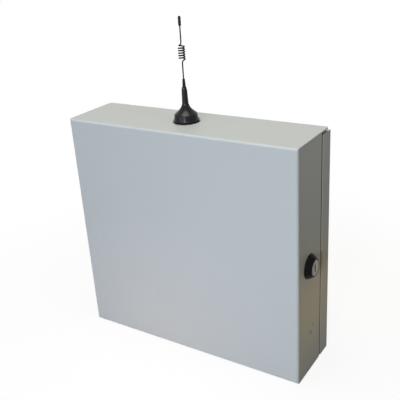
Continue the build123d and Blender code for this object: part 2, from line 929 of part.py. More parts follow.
def supply_cover():
    """The slotted lid over the supply; it leaves a ledge free for the terminals."""
    inside = fit_clearance
    x = (supply_left - supply_sheet - inside, supply_right + supply_sheet + inside)
    z = (supply_bottom + supply_ledge, supply_top)
    cover = block(x, (plate_face, supply_face), z)
    inner = (x[0] + supply_sheet, x[1] - supply_sheet)
    cover -= block(inner, (overrun, supply_face + supply_sheet), (z[0] + supply_sheet, z[1] + overrun))
    back = plate_face - supply_terminal_depth
    cover -= block(inner, (overrun, back), (z[0] - overrun, z[0] + supply_sheet))
    slot_z = (z[0] + supply_slot_margin, z[1] - supply_slot_margin)
    room = x[1] - x[0] - 2 * supply_slot_margin
    count = int(room / supply_slot_pitch) + 1
    middle = (x[0] + x[1]) / 2
    for place in range(count):
        slot_x = middle + (place - (count - 1) / 2) * supply_slot_pitch
        slot_y = (supply_face - overrun, supply_face + supply_sheet + overrun)
        cover -= block(around(slot_x, supply_slot_width), slot_y, slot_z)
    return cover


def supply_terminals():
    """The supply's terminal strip on the ledge, with a chamber for each wire."""
    room = supply_right - supply_left - 2 * supply_terminal_margin
    count = int(room / supply_terminal_pitch)
    left = (supply_left + supply_right - count * supply_terminal_pitch) / 2
    bottom = supply_bottom + supply_sheet
    top = bottom + supply_terminal_height
    floor = plate_face - supply_sheet
    front = floor - supply_terminal_depth
    strip = block((left, left + count * supply_terminal_pitch), (floor, front), (bottom, top))
    chamber = supply_terminal_pitch - 2 * supply_sheet
    for place in range(count):
        x = left + (place + 1 / 2) * supply_terminal_pitch
        depth = (front - overrun, front + screw_recess)
        strip -= block(around(x, chamber), depth, (bottom + supply_sheet, top - supply_sheet))
    return strip


def spacer_places():
    """The places of the board's spacers, row by row."""
    places = []
    step_x = (board_right - board_left - 2 * spacer_inset) / (spacer_columns - 1)
    step_z = (board_top - board_bottom - 2 * spacer_inset) / (spacer_rows - 1)
    for row in range(spacer_rows):
        for column in range(spacer_columns):
            x = board_left + spacer_inset + column * step_x
            places.append((x, board_bottom + spacer_inset + row * step_z))
    return places


def board_spacers():
    """Hex spacers between back plate and board."""
    feet = [(x, plate_face, z) for x, z in spacer_places()]
    return group([hex_bar(foot, TO_FRONT, spacer_flats, spacer_height) for foot in feet])


def board_screws():
    """The hex heads that hold the board on its spacers."""
    seats = [(x, board_face, z) for x, z in spacer_places()]
    return group([hex_bar(seat, TO_FRONT, board_screw_flats, board_screw_head) for seat in seats])


def control_board():
    """The printed board."""
    return block((board_left, board_right), (board_back, board_face), (board_bottom, board_top))


def on_board(x, z, height):
    """A block on the face of the board."""
    return block(x, (board_face, board_face - height), z)


def row_span(row, length):
    """The bottom and top of what stands in a row of the board."""
    return (board_bottom + row, board_bottom + row + length)


def plug_row_left(row):
    """The left end of a row of lamp wire plugs; the rows are centred on the board."""
    full = plug_row_count * plug_row_width + (plug_row_count - 1) * plug_row_gap
    return board_middle - full / 2 + row * plug_row_step


def output_headers():
    """The board headers that the lamp wire plugs go on."""
    headers = []
    for row in range(plug_row_count):
        x = (plug_row_left(row), plug_row_left(row) + plug_row_width)
        headers.append(on_board(x, row_span(header_row, header_depth), header_height))
    return group(headers)


def output_plugs():
    """The plugs for the lamp wires, with a wire entry and a screw recess for each way."""
    plugs = []
    top = board_bottom + header_row
    bottom = board_bottom - plug_overhang
    front = board_face - plug_height
    opening = plug_pitch - 2 * plug_wall
    entry_y = board_face - plug_height / 2
    for row in range(plug_row_count):
        left = plug_row_left(row)
        plug = on_board((left, left + plug_row_width), (bottom, top), plug_height)
        for way in range(plug_ways):
            x = around(left + (way + 1 / 2) * plug_pitch, opening)
            plug -= block(x, around(entry_y, opening), (bottom - overrun, bottom + plug_entry_depth))
            screw = around((bottom + top) / 2, opening)
            plug -= block(x, (front - overrun, front + plug_wall), screw)
        plugs.append(plug)
    return group(plugs)


def output_x(place):
    """The middle of an output, counted along the board."""
    return board_middle + (place - (output_count - 1) / 2) * fuse_pitch


def output_fuses():
    """A boxed fuse for each output."""
    z = row_span(fuse_row, fuse_length)
    return group([on_board(around(output_x(n), fuse_width), z, fuse_height) for n in range(output_count)])


def status_lamps():
    """A small lamp above each fuse."""
    z = row_span(lamp_row, lamp_length)
    return group([on_board(around(output_x(n), lamp_width), z, lamp_height) for n in range(output_count)])


def heat_sink():
    """An angle along the board that the triacs lie against."""
    reach = (output_count - 1) * fuse_pitch + triac_width + 2 * heat_sink_thickness
    x = around(board_middle, reach)
    low = board_bottom + sink_row
    sink = on_board(x, (low, low + heat_sink_thickness), heat_sink_height)
    return sink + on_board(x, (low, low + heat_sink_foot), heat_sink_thickness)


def lamp_triacs():
    """A triac for each output, with its tab flat on the heat sink."""
    triacs = []
    top = board_bottom + sink_row
    for place in range(output_count):
        x = around(output_x(place), triac_width)
        triac = on_board(x, (top - triac_body_length, top), triac_body_height)
        triac += on_board(x, (top - triac_tab, top), triac_tab_height)
        triacs.append(triac)
    return group(triacs)


def processor_chip():
    """The main chip."""
    x = (processor_left, processor_left + processor_side)
    return on_board(x, around(chip_z, processor_side), processor_height)


def driver_chips():
    """The driver chips beside it."""
    z = around(chip_z, driver_length)
    places = [driver_left + n * driver_pitch for n in range(driver_count)]
    return group([on_board(around(x, driver_width), z, driver_height) for x in places])


def filter_capacitors():
    """Round capacitors that stand on the board."""
    places = [capacitor_left + n * capacitor_pitch for n in range(capacitor_count)]
    feet = [(x, board_face, chip_z) for x in places]
    return group([bar(foot, TO_FRONT, capacitor_radius, capacitor_height) for foot in feet])


def display_window(inset):
    """The sides of the window in the display's frame."""
    x = (display_left + display_border_side + inset, display_right - display_border_side - inset)
    z = (display_bottom + display_border_top + inset, display_top - display_border_top - inset)
    return x, z


def display_frame():
    """The display module with a window sunk in its face."""
    frame = on_board((display_left, display_right), (display_bottom, display_top), display_depth)
    x, z = display_window(0)
    face = board_face - display_depth
    return frame - block(x, (face - overrun, face + display_recess), z)


def display_glass():
    """The glass in the window."""
    x, z = display_window(fit_clearance)
    floor = board_face - display_depth + display_recess
    return block(x, (floor, floor - glass_sheet), z)


def key_places():
    """The middles of the keys, from the top row down."""
    places = []
    for row in range(key_rows):
        for column in range(key_columns):
            x = key_left + key_base_side / 2 + column * key_pitch
            places.append((x, display_top - key_base_side / 2 - row * key_pitch))
    return places


def key_switches():
    """The switch bodies with a well for each key's stem."""
    switches = []
    well_side = key_stem_side + 2 * key_stem_clearance
    well_floor = key_base_face + key_stem_depth + key_travel + key_floor_clearance
    for x, z in key_places():
        body = on_board(around(x, key_base_side), around(z, key_base_side), key_base_height)
        well = (key_base_face - overrun, well_floor)
        switches.append(body - block(around(x, well_side), well, around(z, well_side)))
    return group(switches)


def key_cap(place):
    """A cap on a square stem that slides into the switch body."""
    x, z = key_places()[place]
    under = key_base_face - key_cap_clearance
    cap = block(around(x, key_cap_side), (under, under - key_cap_height), around(z, key_cap_side))
    stem = (under, key_base_face + key_stem_depth)
    return cap + block(around(x, key_stem_side), stem, around(z, key_stem_side))


def cell_floor():
    """The face that the coin cell lies on."""
    return board_face - cell_holder_floor


def cell_holder():
    """An open-sided cup for the coin cell."""
    outer = cell_radius + cell_holder_wall
    height = cell_holder_floor + cell_thickness
    holder = bar((cell_x, board_face, chip_z), TO_FRONT, outer, height, turned_sides)
    pocket = (cell_x, cell_floor(), chip_z)
    holder -= socket(pocket, TO_FRONT, cell_radius + fit_clearance, height, turned_sides)
    slot_y = (cell_floor(), cell_floor() - height)
    slot = block(around(cell_x, cell_lift_slot), slot_y, (chip_z, chip_z - 2 * outer))
    return holder - slot


def coin_cell():
    """The cell that keeps the clock running."""
    return bar((cell_x, cell_floor(), chip_z), TO_FRONT, cell_radius, cell_thickness, turned_sides)


def radio_module():
    """The radio under its metal can."""
    z = (board_top - board_margin - radio_height, board_top - board_margin)
    return on_board((radio_left, radio_right), z, radio_depth)


def antenna_jack():
    """The screw jack for the antenna lead, at the top edge of the board."""
    y = board_face - jack_flats / 2
    bottom = board_top - jack_body_length
    jack = block(around(jack_x, jack_flats), around(y, jack_flats), (bottom, board_top))
    jack += bar((jack_x, y, board_top), UP, jack_thread_radius, jack_thread_length)
    hole_bottom = board_top + jack_thread_length - jack_hole_depth
    return jack - socket((jack_x, y, hole_bottom), UP, jack_hole_radius, jack_hole_depth + overrun)


PIECES = {
    "door_shell": door_shell,
    "back_pan": back_pan,
    "hinge_pan_leaves": hinge_pan_leaves,
    "hinge_door_leaves": hinge_door_leaves,
    "hinge_pins": hinge_pins,
    "lock_collar": lock_collar,
    "lock_barrel": lock_barrel,
    "lock_nut": lock_nut,
    "lock_plug": lock_plug,
    "lock_cam": lock_cam,
    "cam_screw": cam_screw,
    "lock_striker": lock_striker,
    "antenna_pad": antenna_pad,
    "antenna_magnet": antenna_magnet,
    "antenna_foot": antenna_foot,
    "antenna_sleeve": antenna_sleeve,
    "antenna_whip": antenna_whip,
    "antenna_tip": antenna_tip,
    "earth_stud": earth_stud,
    "earth_nut": earth_nut,
    "mounting_rail": mounting_rail,
    "rail_screws": rail_screws,
    "breaker_case": breaker_case,
    "breaker_lever": breaker_lever,
    "arrester_base": arrester_base,
    "arrester_cartridges": arrester_cartridges,
    "rail_terminals": rail_terminals,
    "earth_terminals": earth_terminals,
    "rail_end_stops": rail_end_stops,
    "supply_base": supply_base,
    "supply_cover": supply_cover,
    "supply_terminals": supply_terminals,
    "control_board": control_board,
    "board_spacers": board_spacers,
    "board_screws": board_screws,
    "output_headers": output_headers,
    "output_plugs": output_plugs,
    "output_fuses": output_fuses,
    "status_lamps": status_lamps,
    "heat_sink": heat_sink,
    "lamp_triacs": lamp_triacs,
    "processor_chip": processor_chip,
    "driver_chips": driver_chips,
    "filter_capacitors": filter_capacitors,
    "display_frame": display_frame,
    "display_glass": display_glass,
    "key_switches": key_switches,
    "cell_holder": cell_holder,
    "coin_cell": coin_cell,
    "radio_module": radio_module,
    "antenna_jack": antenna_jack,
}

os.makedirs("parts", exist_ok=True)
for name, make in PIECES.items():
    export_step(make(), f"parts/{name}.step")
for place in range(key_columns * key_rows):
    export_step(key_cap(place), f"parts/key_cap_{place + 1}.step")
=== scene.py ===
import json
import logging
import math
from dataclasses import dataclass
from enum import Enum
from typing import Callable, Sequence

import bmesh
import bpy
from mathutils import Matrix, Vector


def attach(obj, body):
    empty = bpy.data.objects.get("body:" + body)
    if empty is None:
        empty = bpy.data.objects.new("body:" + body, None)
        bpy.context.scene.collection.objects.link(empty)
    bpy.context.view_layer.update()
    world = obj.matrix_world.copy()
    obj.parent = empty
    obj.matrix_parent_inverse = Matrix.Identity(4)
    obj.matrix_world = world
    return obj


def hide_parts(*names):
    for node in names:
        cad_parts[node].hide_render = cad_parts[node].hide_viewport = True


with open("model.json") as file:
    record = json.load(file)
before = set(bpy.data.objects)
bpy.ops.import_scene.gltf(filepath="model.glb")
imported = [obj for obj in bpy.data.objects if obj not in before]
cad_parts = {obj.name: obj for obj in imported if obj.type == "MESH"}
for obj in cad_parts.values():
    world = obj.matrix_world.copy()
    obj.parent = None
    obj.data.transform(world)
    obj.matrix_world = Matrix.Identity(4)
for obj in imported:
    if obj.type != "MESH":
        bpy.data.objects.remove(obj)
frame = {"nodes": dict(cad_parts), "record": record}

LOG = logging.getLogger("signal_controller")
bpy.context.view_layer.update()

# Shared words and measures
Colour = tuple[float, float, float]
Place = tuple[float, float, float]
Profile = Sequence[tuple[float, float]]
Node = bpy.types.Node
Socket = bpy.types.NodeSocket
Piece = bpy.types.Object

MILLIMETRE = 0.001
ORIGIN: Place = (0.0, 0.0, 0.0)
WHITE: Colour = (1.0, 1.0, 1.0)
FACING_COSINE = 0.9
SMOOTH_MARGIN_DEGREES = 8.0


def mm(*lengths: float) -> tuple[float, ...]:
    """Turns lengths in millimetres into a place or a row of lengths in metres."""
    return tuple(length * MILLIMETRE for length in lengths)


class Body(Enum):
    """The moving bodies that pieces ride on."""

    CASE = "case"
    DOOR = "door"
    LOCK_CORE = "lock_core"
    LEVER = "lever"
    KEY_1 = "key_1"
    KEY_2 = "key_2"
    KEY_3 = "key_3"
    KEY_4 = "key_4"


class Axis(Enum):
    """The ways that a piece can point or face."""

    UP = (0.0, 0.0, 1.0)
    DOWN = (0.0, 0.0, -1.0)
    RIGHT = (1.0, 0.0, 0.0)
    LEFT = (-1.0, 0.0, 0.0)
    TO_FRONT = (0.0, -1.0, 0.0)
    TO_BACK = (0.0, 1.0, 0.0)

    def turn(self) -> Matrix:
        """The rotation that brings the upright to this axis."""
        return Vector(Axis.UP.value).rotation_difference(Vector(self.value)).to_matrix().to_4x4()


class Drive(Enum):
    """How a screw head is driven, by the number of its slots."""

    SLOT = 1
    CROSS = 2


class Effect(Enum):
    """Surface effects that several finishes share."""

    ORANGE_PEEL = "orange_peel"
    MOULDED_GRAIN = "moulded_grain"
    BRUSHED_STREAKS = "brushed_streaks"
    EDGE_WEAR = "edge_wear"
    SETTLED_DUST = "settled_dust"
    # painted shade in seams and corners, found by ambient occlusion
    SEAM_GRIME = "seam_grime"


# Shader nodes
class NodeDesk:
    """Lays out the nodes of one shader tree."""

    def __init__(self, tree: bpy.types.NodeTree) -> None:
        """Starts on a tree."""
        self.tree = tree

    def feed(self, socket: Socket, value: object) -> None:
        """Links an output to a socket, or sets the socket's own value.

        Args:
            socket: the input socket.
            value: an output socket, a number, or a colour or vector.
        """
        if isinstance(value, Socket):
            self.tree.links.new(value, socket)
        elif isinstance(value, (int, float)):
            socket.default_value = value
        else:
            size = len(socket.default_value)
            socket.default_value = (*value, 1.0)[:size]

    def add(self, kind: str, **inputs: object) -> Node:
        """Adds a node.

        Args:
            kind: the node's class name.
            inputs: socket names, with a low line for a space, and what feeds them.

        Returns:
            The new node.
        """
        node = self.tree.nodes.new(kind)
        for name, value in inputs.items():
            self.feed(node.inputs[name.replace("_", " ")], value)
        return node

    def sum(self, operation: str, first: object, second: object = 0.0) -> Socket:
        """A sum of two values.

        Args:
            operation: the Math node's operation.
            first: the first value.
            second: the second value.

        Returns:
            The result.
        """
        node = self.tree.nodes.new("ShaderNodeMath")
        node.operation = operation
        self.feed(node.inputs[0], first)
        self.feed(node.inputs[1], second)
        return node.outputs[0]

    def vector(self, operation: str, first: object, second: object) -> Node:
        """A vector sum.

        Args:
            operation: the Vector Math node's operation.
            first: the first vector.
            second: the second vector.

        Returns:
            The node, whose outputs are Vector and Value.
        """
        node = self.tree.nodes.new("ShaderNodeVectorMath")
        node.operation = operation
        self.feed(node.inputs[0], first)
        self.feed(node.inputs[1], second)
        return node

    def blend(self, share: object, first: object, second: object) -> Socket:
        """A mix of two colours.

        Args:
            share: how much of the second colour shows.
            first: the first colour.
            second: the second colour.

        Returns:
            The mixed colour.
        """
        node = self.tree.nodes.new("ShaderNodeMix")
        node.data_type = "RGBA"
        self.feed(node.inputs[0], share)
        self.feed(node.inputs[6], first)
        self.feed(node.inputs[7], second)
        return node.outputs[2]

    def tint(self, tone: object, mask: object, strength: float, colour: Colour) -> Socket:
        """Lays a colour over a tone.

        Args:
            tone: the colour underneath.
            mask: where the new colour shows.
            strength: how much of it shows there.
            colour: the new colour.

        Returns:
            The mixed colour.
        """
        return self.blend(self.sum("MULTIPLY", mask, strength), tone, colour)

    def noise(self, vector: object, scale: object, detail: float = 2.0) -> Socket:
        """Soft noise between 0 and 1.

        Args:
            vector: where it is read.
            scale: its scale.
            detail: how many finer layers it has.

        Returns:
            The noise.
        """
        return self.add("ShaderNodeTexNoise", Vector=vector, Scale=scale, Detail=detail).outputs["Fac"]

    def step(self, value: object, low: float, high: float) -> Socket:
        """A soft step from 0 at the low value to 1 at the high one.

        Args:
            value: what is stepped.
            low: where the step starts.
            high: where it ends.

        Returns:
            The stepped value.
        """
        node = self.tree.nodes.new("ShaderNodeMapRange")
        node.interpolation_type = "SMOOTHSTEP"
        for socket, number in zip(node.inputs, (value, low, high, 0.0, 1.0)):
            self.feed(socket, number)
        return node.outputs[0]

    def effect(self, kind: Effect, **inputs: object) -> Node:
        """Places a shared effect.

        Args:
            kind: which effect.
            inputs: the group's sockets and what feeds them.

        Returns:
            The group node.
        """
        node = self.tree.nodes.new("ShaderNodeGroup")
        node.node_tree = EffectShop.get(kind)
        for name, value in inputs.items():
            self.feed(node.inputs[name.replace("_", " ")], value)
        return node


class EffectShop:
    """Builds each shared effect once, as a node group."""

    VECTORS = ("Vector", "Stretch", "Normal")
    PEEL_FINER = 3.1
    PEEL_FINE_SHARE = 0.35
    PEEL_SLOWER = 0.011
    PEEL_SPECKS = (0.66, 0.8)
    GRAIN_SOFTER = 0.6
    GRAIN_CELL_SHARE = 0.6
    GRAIN_SLOWER = 0.04
    CLOUD_SLOWER = 0.12
    WEAR_TURN = (0.02, 0.16)
    WEAR_PATCH = (0.42, 0.66)
    DUST_TURN = (0.3, 1.0)
    DUST_PATCH = (0.35, 0.8)
    # painted shade in seams: steps for occlusion, patches and height
    PAINTED_SHADE_CLOSED = (0.16, 0.5)
    PAINTED_SHADE_PATCH = (0.10, 0.45)
    PAINTED_SHADE_HEIGHT = (-0.075, -0.01)

    @classmethod
    def get(cls, kind: Effect) -> bpy.types.NodeTree:
        """The node group of an effect.

        Args:
            kind: which effect.

        Returns:
            The group, built on its first use.
        """
        found = bpy.data.node_groups.get(kind.value)
        return found or getattr(cls, kind.value)(kind.value)

    @classmethod
    def blank(
        cls, name: str, inputs: Sequence[str], outputs: Sequence[str]
    ) -> tuple[NodeDesk, Node, Node]:
        """A group with its sockets.

        Args:
            name: the group's name.
            inputs: the names of its inputs.
            outputs: the names of its outputs.

        Returns:
            The desk, the group's input node and its output node.
        """
        tree = bpy.data.node_groups.new(name, "ShaderNodeTree")
        for side, sockets in (("INPUT", inputs), ("OUTPUT", outputs)):
            for socket in sockets:
                kind = "NodeSocketVector" if socket in cls.VECTORS else "NodeSocketFloat"
                tree.interface.new_socket(name=socket, in_out=side, socket_type=kind)
        desk = NodeDesk(tree)
        return desk, desk.add("NodeGroupInput"), desk.add("NodeGroupOutput")

    @classmethod
    def orange_peel(cls, name: str) -> bpy.types.NodeTree:
        """The fine ripple and slow drift of a sprayed and baked coat.

        Args:
            name: the group's name.

        Returns:
            The group, with the outputs Height, Drift and Speck.
        """
        desk, start, end = cls.blank(name, ("Vector", "Scale"), ("Height", "Drift", "Speck"))
        where, scale = start.outputs["Vector"], start.outputs["Scale"]
        ripple = desk.noise(where, scale, 2.0)
        fine = desk.noise(where, desk.sum("MULTIPLY", scale, cls.PEEL_FINER), 1.0)
        height = desk.sum("ADD", ripple, desk.sum("MULTIPLY", fine, cls.PEEL_FINE_SHARE))
        desk.feed(end.inputs["Height"], height)
        drift = desk.noise(where, desk.sum("MULTIPLY", scale, cls.PEEL_SLOWER), 3.0)
        desk.feed(end.inputs["Drift"], drift)
        desk.feed(end.inputs["Speck"], desk.step(fine, *cls.PEEL_SPECKS))
        return desk.tree

    @classmethod
    def moulded_grain(cls, name: str) -> bpy.types.NodeTree:
        """The fine pebbled grain of a moulding and its slow change of tone.

        Args:
            name: the group's name.

        Returns:
            The group, with the outputs Height and Drift.
        """
        desk, start, end = cls.blank(name, ("Vector", "Scale"), ("Height", "Drift"))
        where, scale = start.outputs["Vector"], start.outputs["Scale"]
        cells = desk.add("ShaderNodeTexVoronoi", Vector=where, Scale=scale).outputs["Distance"]
        soft = desk.noise(where, desk.sum("MULTIPLY", scale, cls.GRAIN_SOFTER), 2.0)
        height = desk.sum("ADD", desk.sum("MULTIPLY", cells, cls.GRAIN_CELL_SHARE), soft)
        desk.feed(end.inputs["Height"], height)
        drift = desk.noise(where, desk.sum("MULTIPLY", scale, cls.GRAIN_SLOWER), 3.0)
        desk.feed(end.inputs["Drift"], drift)
        return desk.tree

    @classmethod
    def brushed_streaks(cls, name: str) -> bpy.types.NodeTree:
        """Long fine streaks across metal, with broad cloudy patches.

        Args:
            name: the group's name.

        Returns:
            The group, with the outputs Streak and Cloud.
        """
        desk, start, end = cls.blank(name, ("Vector", "Stretch", "Scale"), ("Streak", "Cloud"))
        where, scale = start.outputs["Vector"], start.outputs["Scale"]
        long = desk.vector("MULTIPLY", where, start.outputs["Stretch"]).outputs["Vector"]
        desk.feed(end.inputs["Streak"], desk.noise(long, scale, 4.0))
        cloud = desk.noise(where, desk.sum("MULTIPLY", scale, cls.CLOUD_SLOWER), 3.0)
        desk.feed(end.inputs["Cloud"], cloud)
        return desk.tree

    @classmethod
    def edge_wear(cls, name: str) -> bpy.types.NodeTree:
        """Softened edges, and a broken mask of where they rub bright.

        Args:
            name: the group's name.

        Returns:
            The group, with the outputs Mask and Normal.
        """
        desk, start, end = cls.blank(name, ("Vector", "Radius", "Scale"), ("Mask", "Normal"))
        rounded = desk.add("ShaderNodeBevel", Radius=start.outputs["Radius"]).outputs["Normal"]
        flat = desk.add("ShaderNodeNewGeometry").outputs["Normal"]
        turn = desk.sum("SUBTRACT", 1.0, desk.vector("DOT_PRODUCT", rounded, flat).outputs["Value"])
        patch = desk.noise(start.outputs["Vector"], start.outputs["Scale"], 4.0)
        rubbed = desk.step(turn, *cls.WEAR_TURN)
        broken = desk.sum("MULTIPLY", rubbed, desk.step(patch, *cls.WEAR_PATCH))
        desk.feed(end.inputs["Mask"], broken)
        desk.feed(end.inputs["Normal"], rounded)
        return desk.tree

    @classmethod
    def settled_dust(cls, name: str) -> bpy.types.NodeTree:
        """Dust that settles on what faces up, in uneven patches.

        Args:
            name: the group's name.

        Returns:
            The group, with the output Mask.
        """
        desk, start, end = cls.blank(name, ("Vector", "Scale"), ("Mask",))
        normal = desk.add("ShaderNodeNewGeometry").outputs["Normal"]
        up = desk.vector("DOT_PRODUCT", normal, Axis.UP.value).outputs["Value"]
        patch = desk.noise(start.outputs["Vector"], start.outputs["Scale"], 5.0)
        settled = desk.step(up, *cls.DUST_TURN)
        mask = desk.sum("MULTIPLY", settled, desk.step(patch, *cls.DUST_PATCH))
        desk.feed(end.inputs["Mask"], mask)
        return desk.tree

    @classmethod
    def seam_grime(cls, name: str) -> bpy.types.NodeTree:
        """Painted shade: darkens seams and corners that ambient occlusion finds closed, in uneven patches,
        and fades out lower down.

        Args:
            name: the group's name.

        Returns:
            The group, with the output Mask.
        """
        desk, start, end = cls.blank(name, ("Vector", "Reach", "Scale"), ("Mask",))
        # the occlusion finds closed seams and corners, whose colour is darkened as painted shade
        open_sky = desk.add("ShaderNodeAmbientOcclusion", Distance=start.outputs["Reach"]).outputs["AO"]
        closed = desk.step(desk.sum("SUBTRACT", 1.0, open_sky), *cls.PAINTED_SHADE_CLOSED)
        patch = desk.noise(start.outputs["Vector"], start.outputs["Scale"], 3.0)
        height = desk.add("ShaderNodeSeparateXYZ", Vector=start.outputs["Vector"]).outputs["Z"]
        closed = desk.sum("MULTIPLY", closed, desk.step(height, *cls.PAINTED_SHADE_HEIGHT))
        mask = desk.sum("MULTIPLY", closed, desk.step(patch, *cls.PAINTED_SHADE_PATCH))
        desk.feed(end.inputs["Mask"], mask)
        return desk.tree


# Finishes
@dataclass(frozen=True)
class Finish:
    """What all finishes have in common."""

    name: str
    colour: Colour
    roughness: float
    metallic: float = 0.0
    edge: float = 0.0003
    grain: float = 900.0
    bump: float = 0.12
    bump_depth: float = 0.0004
    drift: float = 0.08
    swing: float = 0.12
    wear: float = 0.15
    wear_scale: float = 240.0
    rubbed: float = 1.25
    coat: float = 0.0
    gloss: float = 0.5

    def make(self) -> bpy.types.Material:
        """Makes the material of this finish on its first use.

        Returns:
            The material.
        """
        label = f"finish_{self.name}"
        found = bpy.data.materials.get(label)
        if found:
            return found
        material = bpy.data.materials.new(label)
        material.use_nodes = True
        material.diffuse_color = (*self.colour, 1.0)
        desk = NodeDesk(material.node_tree)
        shader = material.node_tree.nodes["Principled BSDF"]
        where = desk.add("ShaderNodeTexCoord").outputs["Object"]
        self.fill(desk, shader, where)
        shader.inputs["Metallic"].default_value = self.metallic
        shader.inputs["Coat Weight"].default_value = self.coat
        shader.inputs["Specular IOR Level"].default_value = self.gloss
        return material

    def shade(self, share: float) -> Colour:
        """The finish's colour, made lighter or darker by a share."""
        return tuple(min(1.0, part * share) for part in self.colour)

    def drifted(self, desk: NodeDesk, share: Socket) -> Socket:
        """The finish's colour, drifting between a darker and a lighter tone."""
        return desk.blend(share, self.shade(1.0 - self.drift), self.shade(1.0 + self.drift))

    def polish(self, desk: NodeDesk, shader: Node, share: Socket) -> None:
        """Lets the shader's roughness swing round its middle."""
        rough = desk.sum("ADD", self.roughness - self.swing / 2, desk.sum("MULTIPLY", share, self.swing))
        desk.feed(shader.inputs["Roughness"], rough)

    def edges(self, desk: NodeDesk, where: Socket) -> Node:
        """The softened edges and their wear."""
        return desk.effect(Effect.EDGE_WEAR, Vector=where, Radius=self.edge, Scale=self.wear_scale)

    def relief(self, desk: NodeDesk, shader: Node, height: object, edges: Node) -> None:
        """Gives the shader its bumps over the softened edges.

        Args:
            desk: the material's desk.
            shader: the Principled shader.
            height: the height of the bumps.
            edges: the edge effect, whose normal lies under them.
        """
        bump = desk.add("ShaderNodeBump", Strength=self.bump, Distance=self.bump_depth, Height=height)
        desk.feed(bump.inputs["Normal"], edges.outputs["Normal"])
        desk.feed(shader.inputs["Normal"], bump.outputs["Normal"])

    def fill(self, desk: NodeDesk, shader: Node, where: Socket) -> None:
        """Builds the nodes of the finish.

        Args:
            desk: the material's desk.
            shader: the Principled shader.
            where: the object's own coordinates.
        """
        raise NotImplementedError


@dataclass(frozen=True)
class Moulded(Finish):
    """Moulded plastic or rubber with a pebbled grain."""

    dust: float = 0.0
    dust_scale: float = 160.0
    dust_colour: Colour = (0.42, 0.40, 0.36)
    paling: float = 0.25

    def fill(self, desk: NodeDesk, shader: Node, where: Socket) -> None:
        """Lays grain, drift of tone, rubbed edges and a little dust.

        Args:
            desk: the material's desk.
            shader: the Principled shader.
            where: the object's own coordinates.
        """
        grain = desk.effect(Effect.MOULDED_GRAIN, Vector=where, Scale=self.grain)
        edges = self.edges(desk, where)
        tone = self.drifted(desk, grain.outputs["Drift"])
        pale = tuple(part + (1.0 - part) * self.paling for part in self.colour)
        tone = desk.tint(tone, edges.outputs["Mask"], self.wear, pale)
        dust = desk.effect(Effect.SETTLED_DUST, Vector=where, Scale=self.dust_scale).outputs["Mask"]
        tone = desk.tint(tone, dust, self.dust, self.dust_colour)
        desk.feed(shader.inputs["Base Color"], tone)
        self.polish(desk, shader, grain.outputs["Drift"])
        self.relief(desk, shader, grain.outputs["Height"], edges)


@dataclass(frozen=True)
class Metal(Finish):
    """Bare or plated metal with streaks along one way."""

    metallic: float = 1.0
    swing: float = 0.18
    stretch: Place = (1.0, 24.0, 24.0)
    streak: float = 0.35
    streak_shade: float = 0.78
    streak_scale: float = 0.1

    def fill(self, desk: NodeDesk, shader: Node, where: Socket) -> None:
        """Lays streaks, cloudy plating and bright rubbed edges.

        Args:
            desk: the material's desk.
            shader: the Principled shader.
            where: the object's own coordinates.
        """
        scale = self.grain * self.streak_scale
        brushed = desk.effect(Effect.BRUSHED_STREAKS, Vector=where, Stretch=self.stretch, Scale=scale)
        edges = self.edges(desk, where)
        tone = self.drifted(desk, brushed.outputs["Cloud"])
        tone = desk.tint(tone, brushed.outputs["Streak"], self.streak, self.shade(self.streak_shade))
        tone = desk.tint(tone, edges.outputs["Mask"], self.wear, self.shade(self.rubbed))
        desk.feed(shader.inputs["Base Color"], tone)
        self.polish(desk, shader, brushed.outputs["Streak"])
        self.relief(desk, shader, brushed.outputs["Streak"], edges)


